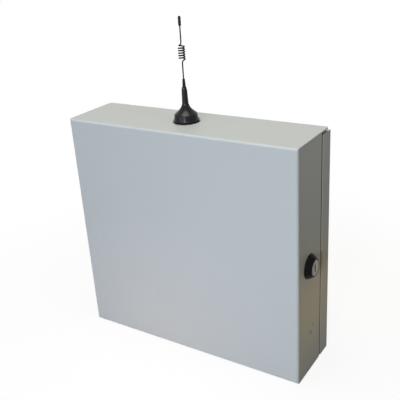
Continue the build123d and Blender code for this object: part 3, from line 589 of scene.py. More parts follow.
@dataclass(frozen=True)
class Painted(Finish):
    """Baked powder coat over sheet metal."""

    swing: float = 0.10
    speck: float = 0.10
    speck_shade: float = 0.82
    dust: float = 0.10
    dust_scale: float = 22.0
    dust_colour: Colour = (0.50, 0.47, 0.41)
    # painted shade in seams and corners: its strength, the occlusion's reach, its patches and its dark colour
    painted_shade: float = 0.0
    painted_shade_reach: float = 0.004
    painted_shade_scale: float = 120.0
    painted_shade_colour: Colour = (0.020, 0.019, 0.017)
    scuffs: tuple[Place, ...] = ()
    scuff_reach: tuple[float, float] = (0.0017, 0.0042)
    scuff_strength: float = 0.6
    scuff_shade: float = 0.5
    ragged: float = 0.0022
    ragged_scale: float = 700.0

    def fill(self, desk: NodeDesk, shader: Node, where: Socket) -> None:
        """Lays orange peel, slow drift, rubbed edges, dust, painted shade in the seams and small scuffs.

        Args:
            desk: the material's desk.
            shader: the Principled shader.
            where: the object's own coordinates.
        """
        peel = desk.effect(Effect.ORANGE_PEEL, Vector=where, Scale=self.grain)
        edges = self.edges(desk, where)
        tone = self.drifted(desk, peel.outputs["Drift"])
        tone = desk.tint(tone, peel.outputs["Speck"], self.speck, self.shade(self.speck_shade))
        tone = desk.tint(tone, edges.outputs["Mask"], self.wear, self.shade(self.rubbed))
        dust = desk.effect(Effect.SETTLED_DUST, Vector=where, Scale=self.dust_scale).outputs["Mask"]
        tone = desk.tint(tone, dust, self.dust, self.dust_colour)
        # painted shade: seams and corners darkened in the colour
        painted_shade = desk.effect(
            Effect.SEAM_GRIME, Vector=where, Reach=self.painted_shade_reach, Scale=self.painted_shade_scale
        ).outputs["Mask"]
        tone = desk.tint(tone, painted_shade, self.painted_shade, self.painted_shade_colour)
        for scuff in self.scuffs:
            tone = self.scuff(desk, where, tone, scuff)
        desk.feed(shader.inputs["Base Color"], tone)
        self.polish(desk, shader, peel.outputs["Drift"])
        self.relief(desk, shader, peel.outputs["Height"], edges)

    def scuff(self, desk: NodeDesk, where: Socket, tone: Socket, place: Place) -> Socket:
        """Rubs a small faint smudge into the paint.

        Args:
            desk: the material's desk.
            where: the object's own coordinates.
            tone: the colour under the smudge.
            place: the middle of the smudge.

        Returns:
            The colour with the smudge.
        """
        ragged = desk.sum("MULTIPLY", desk.noise(where, self.ragged_scale, 3.0), self.ragged)
        away = desk.vector("DISTANCE", where, place).outputs["Value"]
        outside = desk.step(desk.sum("ADD", away, ragged), *self.scuff_reach)
        mask = desk.sum("SUBTRACT", 1.0, outside)
        return desk.tint(tone, mask, self.scuff_strength, self.shade(self.scuff_shade))


@dataclass(frozen=True)
class SolderMask(Finish):
    """A printed board with tracks under its mask and tinned holes."""

    track_cells: float = 52.0
    tracks_per_cell: float = 9.0
    track_step: tuple[float, float] = (0.44, 0.52)
    track_field: float = 30.0
    track_field_step: tuple[float, float] = (0.36, 0.42)
    track_shade: float = 1.9
    track_polish: float = 0.08
    hole_grid: float = 230.0
    hole_step: tuple[float, float] = (0.15, 0.2)
    hole_field: float = 45.0
    hole_field_step: tuple[float, float] = (0.52, 0.56)
    hole_colour: Colour = (0.62, 0.60, 0.50)

    def fill(self, desk: NodeDesk, shader: Node, where: Socket) -> None:
        """Runs tracks in steps round square cells, with holes in a loose grid.

        Args:
            desk: the material's desk.
            shader: the Principled shader.
            where: the object's own coordinates.
        """
        edges = self.edges(desk, where)
        cells = desk.add("ShaderNodeTexVoronoi", Vector=where, Scale=self.track_cells)
        cells.distance = "CHEBYCHEV"
        wave = desk.sum("FRACT", desk.sum("MULTIPLY", cells.outputs["Distance"], self.tracks_per_cell))
        track = desk.step(wave, *self.track_step)
        tracked = desk.step(desk.noise(where, self.track_field), *self.track_field_step)
        track = desk.sum("MULTIPLY", track, tracked)
        tone = desk.blend(track, self.colour, self.shade(self.track_shade))
        dots = desk.add("ShaderNodeTexVoronoi", Vector=where, Scale=self.hole_grid).outputs["Distance"]
        hole = desk.sum("SUBTRACT", 1.0, desk.step(dots, *self.hole_step))
        drilled = desk.step(desk.noise(where, self.hole_field), *self.hole_field_step)
        hole = desk.sum("MULTIPLY", hole, drilled)
        tone = desk.blend(hole, tone, self.hole_colour)
        desk.feed(shader.inputs["Base Color"], tone)
        smoother = desk.sum("MULTIPLY", track, self.track_polish)
        desk.feed(shader.inputs["Roughness"], desk.sum("SUBTRACT", self.roughness, smoother))
        self.relief(desk, shader, desk.sum("ADD", track, hole), edges)


@dataclass(frozen=True)
class DotGlass(Finish):
    """The glass of a two-line display, with its cells faintly seen."""

    cell: float = 0.0033
    cell_step: tuple[float, float] = (0.06, 0.10)
    cell_shade: float = 0.86
    row: float = 0.0085
    row_step: tuple[float, float] = (0.07, 0.10)
    between_shade: float = 1.15
    haze: float = 0.25
    haze_scale: float = 90.0
    haze_shade: float = 0.7
    haze_rough: float = 0.08

    def fill(self, desk: NodeDesk, shader: Node, where: Socket) -> None:
        """Lays rows of blank cells, each darker than the glass between them.

        Args:
            desk: the material's desk.
            shader: the Principled shader.
            where: the object's own coordinates.
        """
        split = desk.add("ShaderNodeSeparateXYZ", Vector=where)
        across = desk.sum("PINGPONG", desk.sum("DIVIDE", split.outputs["X"], self.cell), 0.5)
        along = desk.sum("PINGPONG", desk.sum("DIVIDE", split.outputs["Z"], self.row), 0.5)
        across = desk.step(across, *self.cell_step)
        cell = desk.sum("MULTIPLY", across, desk.step(along, *self.row_step))
        haze = desk.noise(where, self.haze_scale, 3.0)
        tone = desk.blend(cell, self.shade(self.between_shade), self.shade(self.cell_shade))
        tone = desk.tint(tone, haze, self.haze, self.shade(self.haze_shade))
        desk.feed(shader.inputs["Base Color"], tone)
        rougher = desk.sum("MULTIPLY", haze, self.haze_rough)
        desk.feed(shader.inputs["Roughness"], desk.sum("ADD", self.roughness, rougher))
        self.relief(desk, shader, haze, self.edges(desk, where))


# The case's paint darkens its seams and corners strongly as painted shade, and carries four small scuffs.
CASE_PAINT = Painted(
    "powder_coat_grey", (0.500, 0.527, 0.527), 0.46, edge=0.0009, grain=950.0, bump=0.05, drift=0.012,
    wear=0.10, gloss=0.14, painted_shade=0.95, scuffs=(
        mm(145.0, -52.2, -85.4), mm(145.0, -49.6, -87.6), mm(145.0, -47.2, -89.8), mm(145.0, -43.7, -81.6)
    ),
)
ZINC = Metal("zinc_plate", (0.40, 0.41, 0.41), 0.36)
COLLAR = Moulded(
    "collar_black_moulding", (0.006, 0.006, 0.006), 0.28, grain=1600.0, bump=0.05, wear=0.2, gloss=0.05
)
CHROME = Metal("lock_chrome", (0.155, 0.134, 0.108), 0.34, stretch=(24.0, 1.0, 24.0), bump=0.04, edge=0.0004)
RUBBER = Moulded("rubber_black", (0.010, 0.010, 0.0105), 0.70, grain=1400.0, bump=0.18, dust=0.04, gloss=0.15)
SEAL = Moulded("seal_rubber", (0.115, 0.112, 0.100), 0.75, grain=1400.0, bump=0.18, dust=0.08, gloss=0.10)
MAGNET = Moulded("magnet_sintered", (0.05, 0.05, 0.05), 0.60, grain=2200.0, bump=0.25)
ANTENNA = Moulded(
    "antenna_satin_black", (0.006, 0.006, 0.0065), 0.27, grain=1500.0, bump=0.06, dust=0.02, gloss=0.18
)
WHIP = Painted(
    "whip_black_coat", (0.006, 0.006, 0.0065), 0.45, grain=2600.0, bump=0.05, dust=0.0, edge=0.0001,
    gloss=0.06,
)
BRASS = Metal("earth_brass", (0.60, 0.44, 0.18), 0.30)
DEVICE = Moulded(
    "device_light_grey", (0.52, 0.53, 0.52), 0.42, grain=1300.0, bump=0.08, drift=0.04, edge=0.0005
)
LEVER = Moulded("lever_black", (0.02, 0.02, 0.021), 0.30, grain=1500.0, bump=0.05)
CARTRIDGE = Moulded("cartridge_red", (0.36, 0.035, 0.028), 0.38, grain=1300.0, bump=0.07, edge=0.0005)
TERMINAL = Moulded("terminal_grey", (0.20, 0.21, 0.21), 0.46, grain=1400.0, bump=0.09)
EARTH_GREEN = Moulded("earth_green", (0.10, 0.30, 0.05), 0.44, grain=1400.0, bump=0.09)
ALUMINIUM = Metal("mill_aluminium", (0.44, 0.45, 0.46), 0.38, stretch=(1.0, 20.0, 20.0))
GALVANISED = Metal(
    "galvanised_sheet", (0.38, 0.40, 0.41), 0.42, grain=500.0, drift=0.14, stretch=(3.0, 3.0, 3.0)
)
CHIP = Moulded("chip_black", (0.020, 0.020, 0.022), 0.55, grain=2600.0, bump=0.10)
BOARD = SolderMask("board_green", (0.012, 0.105, 0.045), 0.34, bump=0.22, edge=0.0002)
NICKEL = Metal("spacer_nickel", (0.46, 0.42, 0.32), 0.28)
PLUG = Moulded("plug_green", (0.035, 0.24, 0.075), 0.42, grain=1500.0, bump=0.08)
FUSE = Moulded("fuse_black", (0.03, 0.027, 0.026), 0.36, grain=1700.0, bump=0.06)
LAMP = Moulded("lamp_red", (0.50, 0.03, 0.02), 0.16, grain=900.0, bump=0.02, coat=0.6)
SLEEVE = Moulded("capacitor_sleeve", (0.020, 0.030, 0.115), 0.28, grain=1500.0, bump=0.04, coat=0.3)
BEZEL = Painted("display_bezel", (0.020, 0.020, 0.020), 0.38, grain=1400.0, bump=0.08, dust=0.0)
GLASS = DotGlass("display_glass", (0.235, 0.330, 0.055), 0.12, bump=0.01, edge=0.0001, coat=0.8)
KEY = Moulded("key_grey", (0.33, 0.34, 0.34), 0.48, grain=1500.0, bump=0.10, edge=0.0006)
CELL = Metal("cell_steel", (0.44, 0.44, 0.43), 0.26, stretch=(1.0, 1.0, 20.0))
RADIO = Metal("radio_tin_can", (0.38, 0.38, 0.37), 0.34, stretch=(1.0, 20.0, 20.0))
GOLD = Metal("jack_gold", (0.66, 0.48, 0.18), 0.24)
WAFER = Metal("key_way_wafers", (0.07, 0.024, 0.016), 0.50, stretch=(1.0, 1.0, 40.0), drift=0.2)
SOLDER = Metal("tinned_legs", (0.42, 0.42, 0.41), 0.30)
MARKING = Painted("board_marking", (0.66, 0.67, 0.64), 0.55, grain=2400.0, bump=0.06, dust=0.0, edge=0.00005)
WINDOW = Moulded("window_green", (0.06, 0.38, 0.08), 0.22, grain=1200.0, bump=0.02, coat=0.6)

SLOT_FINISH: dict[str, Finish] = {
    "case_paint": CASE_PAINT, "zinc_steel": ZINC, "collar_black": COLLAR, "lock_chrome": CHROME,
    "rubber_black": RUBBER, "magnet_black": MAGNET, "antenna_black": ANTENNA, "whip_black": WHIP,
    "earth_brass": BRASS, "device_grey": DEVICE, "lever_black": LEVER, "cartridge_red": CARTRIDGE,
    "terminal_grey": TERMINAL, "earth_green": EARTH_GREEN, "bare_aluminium": ALUMINIUM,
    "supply_steel": GALVANISED, "chip_black": CHIP, "board_green": BOARD, "spacer_brass": NICKEL,
    "plug_green": PLUG, "fuse_black": FUSE, "lamp_red": LAMP, "capacitor_sleeve": SLEEVE,
    "display_bezel": BEZEL, "display_glass": GLASS, "key_grey": KEY, "cell_steel": CELL,
    "radio_can": RADIO, "jack_brass": GOLD,
}


# Tools and fasteners
class Bench:
    """Hand tools: each works on one object at a time."""

    @staticmethod
    def fresh() -> None:
        """Leaves edit mode and lets go of everything."""
        if bpy.context.mode != "OBJECT":
            bpy.ops.object.mode_set(mode="OBJECT")
        bpy.ops.object.select_all(action="DESELECT")

    @staticmethod
    def hold(piece: Piece) -> Piece:
        """Selects one object alone and makes it active.

        Args:
            piece: the object.

        Returns:
            The object.
        """
        Bench.fresh()
        piece.select_set(True)
        bpy.context.view_layer.objects.active = piece
        return piece

    @staticmethod
    def named(name: str) -> Piece:
        """Names the object just made, and sets its place into its mesh.

        Args:
            name: the piece's name.

        Returns:
            The object.
        """
        piece = bpy.context.active_object
        piece.name = name
        piece.data.name = name
        bpy.ops.object.transform_apply(location=True, rotation=True, scale=True)
        return piece

    @staticmethod
    def box(name: str, low: Sequence[float], high: Sequence[float]) -> Piece:
        """A block to start from.

        Args:
            name: the piece's name.
            low: its lowest corner.
            high: its highest corner.

        Returns:
            The block.
        """
        Bench.fresh()
        low, high = Vector(low), Vector(high)
        bpy.ops.mesh.primitive_cube_add(size=1.0, location=(low + high) / 2, scale=high - low)
        return Bench.named(name)

    @staticmethod
    def lathe(
        name: str, profile: Profile, base: Sequence[float] = ORIGIN, axis: Axis = Axis.UP, sides: int = 64
    ) -> Piece:
        """A turned piece: a disc drawn out step by step along its axis.

        Args:
            name: the piece's name.
            profile: pairs of height and radius, from the base on.
            base: where height zero is.
            axis: the way the piece points.
            sides: how many sides the disc has.

        Returns:
            The closed piece.
        """
        Bench.fresh()
        height, radius = profile[0]
        foot = (0.0, 0.0, height)
        bpy.ops.mesh.primitive_circle_add(vertices=sides, radius=radius, fill_type="NGON", location=foot)
        piece = Bench.named(name)
        bpy.ops.object.mode_set(mode="EDIT")
        bpy.ops.mesh.select_all(action="SELECT")
        for next_height, next_radius in profile[1:]:
            Bench.pull(0.0, 0.0, next_height - height)
            grow = next_radius / radius
            bpy.ops.transform.resize(value=(grow, grow, 1.0), center_override=(0.0, 0.0, next_height))
            height, radius = next_height, next_radius
        bpy.ops.mesh.select_all(action="SELECT")
        bpy.ops.mesh.normals_make_consistent(inside=False)
        bpy.ops.object.mode_set(mode="OBJECT")
        return Bench.put(piece, Matrix.Translation(Vector(base)) @ axis.turn())

    @staticmethod
    def rod(
        name: str, radius: float, low: float, high: float, base: Sequence[float] = ORIGIN,
        axis: Axis = Axis.UP, sides: int = 32,
    ) -> Piece:
        """A plain round rod.

        Args:
            name: the piece's name.
            radius: its radius.
            low: where it starts along its axis.
            high: where it ends.
            base: where height zero is.
            axis: the way it points.
            sides: how many sides it has.

        Returns:
            The rod.
        """
        return Bench.lathe(name, ((low, radius), (high, radius)), base, axis, sides)

    @staticmethod
    def put(piece: Piece, place: Matrix) -> Piece:
        """Moves and turns a piece, and sets that into its mesh.

        Args:
            piece: the piece, modelled at the origin.
            place: where it goes and how it is turned.

        Returns:
            The piece.
        """
        Bench.hold(piece)
        piece.matrix_world = place
        bpy.ops.object.transform_apply(location=True, rotation=True, scale=True)
        return piece

    @staticmethod
    def rim(name: str, low: Sequence[float], high: Sequence[float], width: float) -> Piece:
        """A flat frame that faces the front.

        Args:
            name: the piece's name.
            low: its lowest corner.
            high: its highest corner.
            width: how wide its four sides are.

        Returns:
            The frame.
        """
        piece = Bench.box(name, low, high)
        Bench.pick(piece, lambda middle, normal: abs(normal.y) > FACING_COSINE)
        bpy.ops.mesh.inset(thickness=width)
        bpy.ops.mesh.bridge_edge_loops()
        Bench.fresh()
        return piece

    @staticmethod
    def pick(piece: Piece, test: Callable[[Vector, Vector], bool]) -> None:
        """Opens a piece in edit mode with some faces selected.

        Args:
            piece: the piece.
            test: says yes or no to a face's middle and normal.
        """
        Bench.hold(piece)
        bpy.ops.object.mode_set(mode="EDIT")
        bpy.ops.mesh.select_mode(type="FACE")
        bpy.ops.mesh.select_all(action="DESELECT")
        mesh = bmesh.from_edit_mesh(piece.data)
        for face in mesh.faces:
            face.select_set(test(face.calc_center_median(), face.normal))
        bmesh.update_edit_mesh(piece.data)

    @staticmethod
    def pick_side(piece: Piece, side: Axis) -> None:
        """Opens a piece in edit mode with the faces of one side selected."""
        Bench.pick(piece, lambda middle, normal: normal.dot(Vector(side.value)) > FACING_COSINE)

    @staticmethod
    def pull(x: float, y: float, z: float) -> None:
        """Draws the selected faces out of the opened piece."""
        bpy.ops.mesh.extrude_region_move(TRANSFORM_OT_translate={"value": (x, y, z)})

    @staticmethod
    def smooth(angle: float) -> None:
        """Smooths the held piece, except across edges sharper than an angle in degrees."""
        bpy.ops.object.shade_smooth_by_angle(angle=math.radians(angle))

    @staticmethod
    def apply(piece: Piece, kind: str, **settings: object) -> Piece:
        """Adds a modifier and applies it.

        Args:
            piece: the piece.
            kind: the modifier's kind.
            settings: its settings.

        Returns:
            The piece.
        """
        Bench.hold(piece)
        modifier = piece.modifiers.new(kind.lower(), kind)
        for key, value in settings.items():
            setattr(modifier, key, value)
        bpy.ops.object.modifier_apply(modifier=modifier.name)
        return piece

    @staticmethod
    def soften(piece: Piece, width: float, segments: int = 3, angle: float = 30.0) -> Piece:
        """Rounds the sharp edges of a piece and smooths its shading.

        Args:
            piece: the piece.
            width: how wide the rounding is.
            segments: how many faces it has.
            angle: edges sharper than this, in degrees, are rounded.

        Returns:
            The piece.
        """
        Bench.apply(
            piece, "BEVEL", width=width, segments=segments, limit_method="ANGLE",
            angle_limit=math.radians(angle),
        )
        Bench.smooth(angle + SMOOTH_MARGIN_DEGREES)
        return piece

    @staticmethod
    def combine(piece: Piece, other: Piece, operation: str) -> Piece:
        """Works a second piece into the first and throws the second away.

        Args:
            piece: the piece that stays.
            other: the piece that is used up.
            operation: DIFFERENCE, UNION or INTERSECT.

        Returns:
            The piece that stays.
        """
        Bench.apply(piece, "BOOLEAN", operation=operation, object=other, solver="EXACT")
        bpy.data.objects.remove(other)
        return piece

    @staticmethod
    def cut(piece: Piece, cutter: Piece) -> Piece:
        """Cuts one piece out of another."""
        return Bench.combine(piece, cutter, "DIFFERENCE")

    @staticmethod
    def weld(piece: Piece, other: Piece) -> Piece:
        """Makes one closed piece of two that overlap."""
        return Bench.combine(piece, other, "UNION")

    @staticmethod
    def join(pieces: Sequence[Piece]) -> Piece:
        """Joins pieces into the first of them.

        Args:
            pieces: the pieces.

        Returns:
            The first piece, with all the others in it.
        """
        Bench.hold(pieces[0])
        for piece in pieces[1:]:
            piece.select_set(True)
        bpy.ops.object.join()
        return pieces[0]

    @staticmethod
    def copies(piece: Piece, places: Sequence[Sequence[float] | Matrix]) -> Piece:
        """Copies a piece modelled at the origin to several places, as one object.

        Args:
            piece: the model, which becomes the first copy.
            places: where the copies go, as points or, where they turn too, as matrices.

        Returns:
            The joined copies.
        """
        made = [piece]
        for _ in places[1:]:
            Bench.hold(piece)
            bpy.ops.object.duplicate(linked=False)
            made.append(bpy.context.active_object)
        for copy, place in zip(made, places):
            copy.matrix_world = place if isinstance(place, Matrix) else Matrix.Translation(place)
        bpy.context.view_layer.update()
        Bench.join(made)
        bpy.ops.object.transform_apply(location=True, rotation=True, scale=True)
        return piece

    @staticmethod
    def fit(
        piece: Piece, body: Body, finish: Finish, slot: str, replaced: Sequence[str] = ()
    ) -> Piece:
        """Gives a finished piece its material and the body it rides on.

        Args:
            piece: the finished piece.
            body: the body that it moves with.
            finish: its finish.
            slot: the record's material slot; not used.
            replaced: the solids that it stands for.

        Returns:
            The piece.
        """
        Bench.fresh()
        piece.data.materials.clear()
        piece.data.materials.append(finish.make())
        if replaced:
            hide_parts(*replaced)
        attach(piece, body.value)
        LOG.info("%s on %s, %d faces", piece.name, body.value, len(piece.data.polygons))
        return piece


class Fastener:
    """Screws and nuts that repeat all over the object, modelled at the origin."""

    HEAD_SIDES = 20
    SLOT_HALF_WIDTH = 0.15
    SLOT_DEPTH = 0.45
    CROSS_REACH = 0.62
    THROUGH = 1.2

    @staticmethod
    def head(
        name: str, radius: float, height: float, drive: Drive = Drive.SLOT, axis: Axis = Axis.TO_FRONT
    ) -> Piece:
        """A domed screw head.

        Args:
            name: the piece's name.
            radius: the head's radius.
            height: how far it stands out.
            drive: how it is driven.
            axis: the way it points.

        Returns:
            The screw head.
        """
        dome = ((0.0, radius), (height * 0.6, radius), (height * 0.88, radius * 0.88), (height, radius * 0.6))
        head = Bench.lathe(name, dome, sides=Fastener.HEAD_SIDES)
        half = radius * Fastener.SLOT_HALF_WIDTH
        reach = radius * (Fastener.THROUGH if drive is Drive.SLOT else Fastener.CROSS_REACH)
        low, high = height * Fastener.SLOT_DEPTH, height * Fastener.THROUGH
        for x, y in ((reach, half), (half, reach))[: drive.value]:
            Bench.cut(head, Bench.box("drive", (-x, -y, low), (x, y, high)))
        Bench.put(head, axis.turn())
        Bench.smooth(35.0)
        return head

    @staticmethod
    def row(
        name: str, radius: float, height: float, places: Sequence[Place], drive: Drive = Drive.SLOT,
        axis: Axis = Axis.TO_FRONT,
    ) -> None:
        """Sets zinc plated screw heads on the case, all copies of one head.

        Args:
            name: the name of them all.
            radius: the heads' radius.
            height: how far they stand out.
            places: where they sit.
            drive: how they are driven.
            axis: the way they point.
        """
        heads = Bench.copies(Fastener.head(name, radius, height, drive, axis), places)
        Bench.fit(heads, Body.CASE, ZINC, "zinc_steel")

    @staticmethod
    def hexagon(name: str, flats: float, height: float, bore: float, axis: Axis) -> Piece:
        """A nut with turned corners, or with no bore a screw's head.

        Args:
            name: the piece's name.
            flats: its size across the flats.
            height: its height.
            bore: the radius of its hole, or zero.
            axis: the way it points.

        Returns:
            The nut.
        """
        corner = flats / math.sqrt(3)
        turned = corner - flats / 2
        nut = Bench.rod(name, corner, 0.0, height, sides=6)
        narrow, wide, rise = corner - turned * 0.6, corner * 1.01, turned * 0.35
        round_off = ((0.0, narrow), (rise, wide), (height - rise, wide), (height, narrow))
        Bench.combine(nut, Bench.lathe("cone", round_off, sides=48), "INTERSECT")
        if bore:
            Bench.cut(nut, Bench.rod("bore", bore, -height, 2 * height))
        Bench.put(nut, axis.turn())
        Bench.smooth(25.0)
        return nut

    @staticmethod
    def thread(radius: float, depth: float, pitch: float, low: float, high: float) -> Profile:
        """The profile of a threaded stretch, as a row of ridges.

        Args:
            radius: the thread's outer radius.
            depth: how deep its grooves are.
            pitch: from ridge to ridge.
            low: where it starts.
            high: where it ends.

        Returns:
            Pairs of height and radius.
        """
        profile: list[tuple[float, float]] = []
        for ridge in range(int((high - low) / pitch)):
            foot = low + ridge * pitch
            profile += [(foot, radius - depth), (foot + pitch * 0.4, radius), (foot + pitch * 0.6, radius)]
        return [*profile, (high, radius - depth)]


# Studio
@dataclass(frozen=True)
class StudioLamp:
    """A soft square lamp that looks at a point; a narrow spread is a grid before it."""

    name: str
    place: Place
    size: float
    power: float
    colour: Colour
    target: Place = ORIGIN
    spread: float = 180.0

    def hang(self) -> None:
        """Hangs the lamp in its place and turns it to its target."""
        data = bpy.data.lights.new(self.name, "AREA")
        data.shape = "SQUARE"
        data.size = self.size
        data.energy = self.power
        data.color = self.colour
        data.spread = math.radians(self.spread)
        lamp = bpy.data.objects.new(self.name, data)
        bpy.context.scene.collection.objects.link(lamp)
        lamp.location = self.place
        away = Vector(self.place) - Vector(self.target)
        lamp.rotation_euler = away.to_track_quat("Z", "Y").to_euler()


LAMPS = (
    StudioLamp("front_light", (-0.45, -1.35, 0.24), 0.8, 5.5, (0.73, 0.87, 1.20)),
    StudioLamp("right_light", (0.38, -1.50, 0.45), 0.22, 10.6, (0.885, 0.91, 0.89)),
    StudioLamp("near_light", (0.15, -0.50, -0.03), 0.16, 0.45, (0.70, 0.82, 1.04)),
    StudioLamp("top_light", (-0.08, -0.15, 1.8), 1.0, 25.3, (1.0, 0.974, 0.90)),
    StudioLamp("back_light", (-0.30, 1.30, -0.01), 0.24, 2.2, (0.95, 0.97, 1.0)),
    StudioLamp(
        "warm_light", (0.36, -0.041, -0.061), 0.05, 0.0041, (1.0, 0.60, 0.02), (0.145, -0.041, -0.051), 45.0
    ),
    StudioLamp(
        "upper_light", (0.55, -0.10, 0.42), 0.20, 0.0145, (0.93, 0.94, 0.93), (0.145, -0.05, 0.155), 28.0
    ),
    StudioLamp(
        "corner_light", (-0.12, -0.45, -0.128), 0.10, 0.036, (1.0, 0.60, 0.47), (-0.03, -0.082, -0.15), 54.0
    ),
)


@dataclass
class Studio:
    """Camera, light, floor and background."""

    eye: Place = (0.382238, -0.607177, 0.337071)
    right: Place = (0.843944, 0.532838, -0.061985)
    up: Place = (-0.163215, 0.365131, 0.916537)
    back: Place = (0.510998, -0.763389, 0.395118)
    lens: float = 57.73
    sensor: float = 36.0
    nearest: float = 0.01
    floor_z: float = -0.1375
    floor_side: float = 40.0
    floor_white: float = 0.89
    floor_whiter: float = 0.11
    shadow_middle: Place = (0.0, -0.04, -0.1375)
    ambient: Colour = (0.034, 0.034, 0.026)
    shadow_reach: tuple[float, float] = (0.22, 0.55)
    floor_colour: Colour = (0.92, 0.92, 0.91)
    floor_bounce: Colour = (0.17, 0.130, 0.060)

    def build(self) -> None:
        """Sets the whole studio up."""
        scene = bpy.context.scene
        scene.view_settings.view_transform = "Standard"
        self.camera(scene)
        self.world(scene)
        self.floor()
        for lamp in LAMPS:
            lamp.hang()

    def camera(self, scene: bpy.types.Scene) -> None:
        """Puts the camera where the photograph was taken from.

        Args:
            scene: the scene that looks through it.
        """
        camera = bpy.data.objects.new("camera", bpy.data.cameras.new("camera"))
        scene.collection.objects.link(camera)
        turn = Matrix((self.right, self.up, self.back)).transposed().to_4x4()
        camera.matrix_world = Matrix.Translation(self.eye) @ turn
        camera.data.lens = self.lens
        camera.data.sensor_width = self.sensor
        camera.data.dof.use_dof = False
        camera.data.clip_start = self.nearest
        scene.camera = camera

    @staticmethod
    def seen(desk: NodeDesk) -> Socket:
        """Tells the rays that show the background: camera, glossy and transmission rays.

        Args:
            desk: the desk of the world's or the floor's nodes.

        Returns:
            One for such a ray, or else zero.
        """
        path = desk.add("ShaderNodeLightPath").outputs
        shown = desk.sum("MAXIMUM", path["Is Camera Ray"], path["Is Glossy Ray"])
        return desk.sum("MAXIMUM", shown, path["Is Transmission Ray"])

    def world(self, scene: bpy.types.Scene) -> None:
        """White where it is seen, soft and slightly warm where it lights.

        Args:
            scene: the scene that it surrounds.
        """
        world = bpy.data.worlds.new("studio")
        world.use_nodes = True
        scene.world = world
        desk = NodeDesk(world.node_tree)
        back = world.node_tree.nodes["Background"]
        desk.feed(back.inputs["Color"], desk.blend(self.seen(desk), self.ambient, WHITE))

    def floor(self) -> None:
        """A wide pale floor that keeps a faint shadow."""
        Bench.fresh()
        bpy.ops.mesh.primitive_plane_add(size=self.floor_side, location=(0.0, 0.0, self.floor_z))
        floor = Bench.named("floor")
        material = bpy.data.materials.new("floor_pale")
        material.use_nodes = True
        desk = NodeDesk(material.node_tree)
        nodes = material.node_tree.nodes
        nodes.remove(nodes["Principled BSDF"])
        seen = self.seen(desk)
        tone = desk.blend(seen, self.floor_bounce, self.floor_colour)
        diffuse = desk.add("ShaderNodeBsdfDiffuse", Color=tone)
        white = desk.add("ShaderNodeEmission", Color=WHITE, Strength=1.0)
        where = desk.add("ShaderNodeTexCoord").outputs["Object"]
        away = desk.vector("DISTANCE", where, self.shadow_middle).outputs["Value"]
        whiter = desk.sum("MULTIPLY", desk.step(away, *self.shadow_reach), self.floor_whiter)
        share = desk.sum("MULTIPLY", seen, desk.sum("ADD", self.floor_white, whiter))
        mix = desk.add("ShaderNodeMixShader")
        for socket, value in zip(mix.inputs, (share, diffuse.outputs[0], white.outputs[0])):
            desk.feed(socket, value)
        desk.feed(nodes["Material Output"].inputs["Surface"], mix.outputs[0])
        floor.data.materials.append(material)


# Sub-assemblies
@dataclass
class SheetCase:
    """The folded case: it keeps its solids, takes their finishes and gets a seal on its mouth."""

    seal_low: Place = mm(-144.6, -24.3, -137.3)
    seal_high: Place = mm(144.6, -21.5, 132.1)
    seal_width: float = 0.0048
    seal_rounding: float = 0.0004

    def build(self) -> None:
        """Dresses the solids and lays the seal."""
        self.dress()
        self.seal()

    def seal(self) -> None:
        """A soft rubber strip on the pan's flange, right behind the door's edge."""
        seal = Bench.rim("door_seal", self.seal_low, self.seal_high, self.seal_width)
        Bench.soften(seal, self.seal_rounding)
        Bench.fit(seal, Body.CASE, SEAL, "rubber_black")

    @staticmethod
    def dress() -> None:
        """Gives every solid the finish of its slot in the record."""
        parts = frame["record"]["subparts"]
        for part in parts:
            shown = frame["nodes"][part["node"]]
            shown.data.materials.clear()
            shown.data.materials.append(SLOT_FINISH[part["material_slot"]].make())
        LOG.info("%d solids dressed", len(parts))


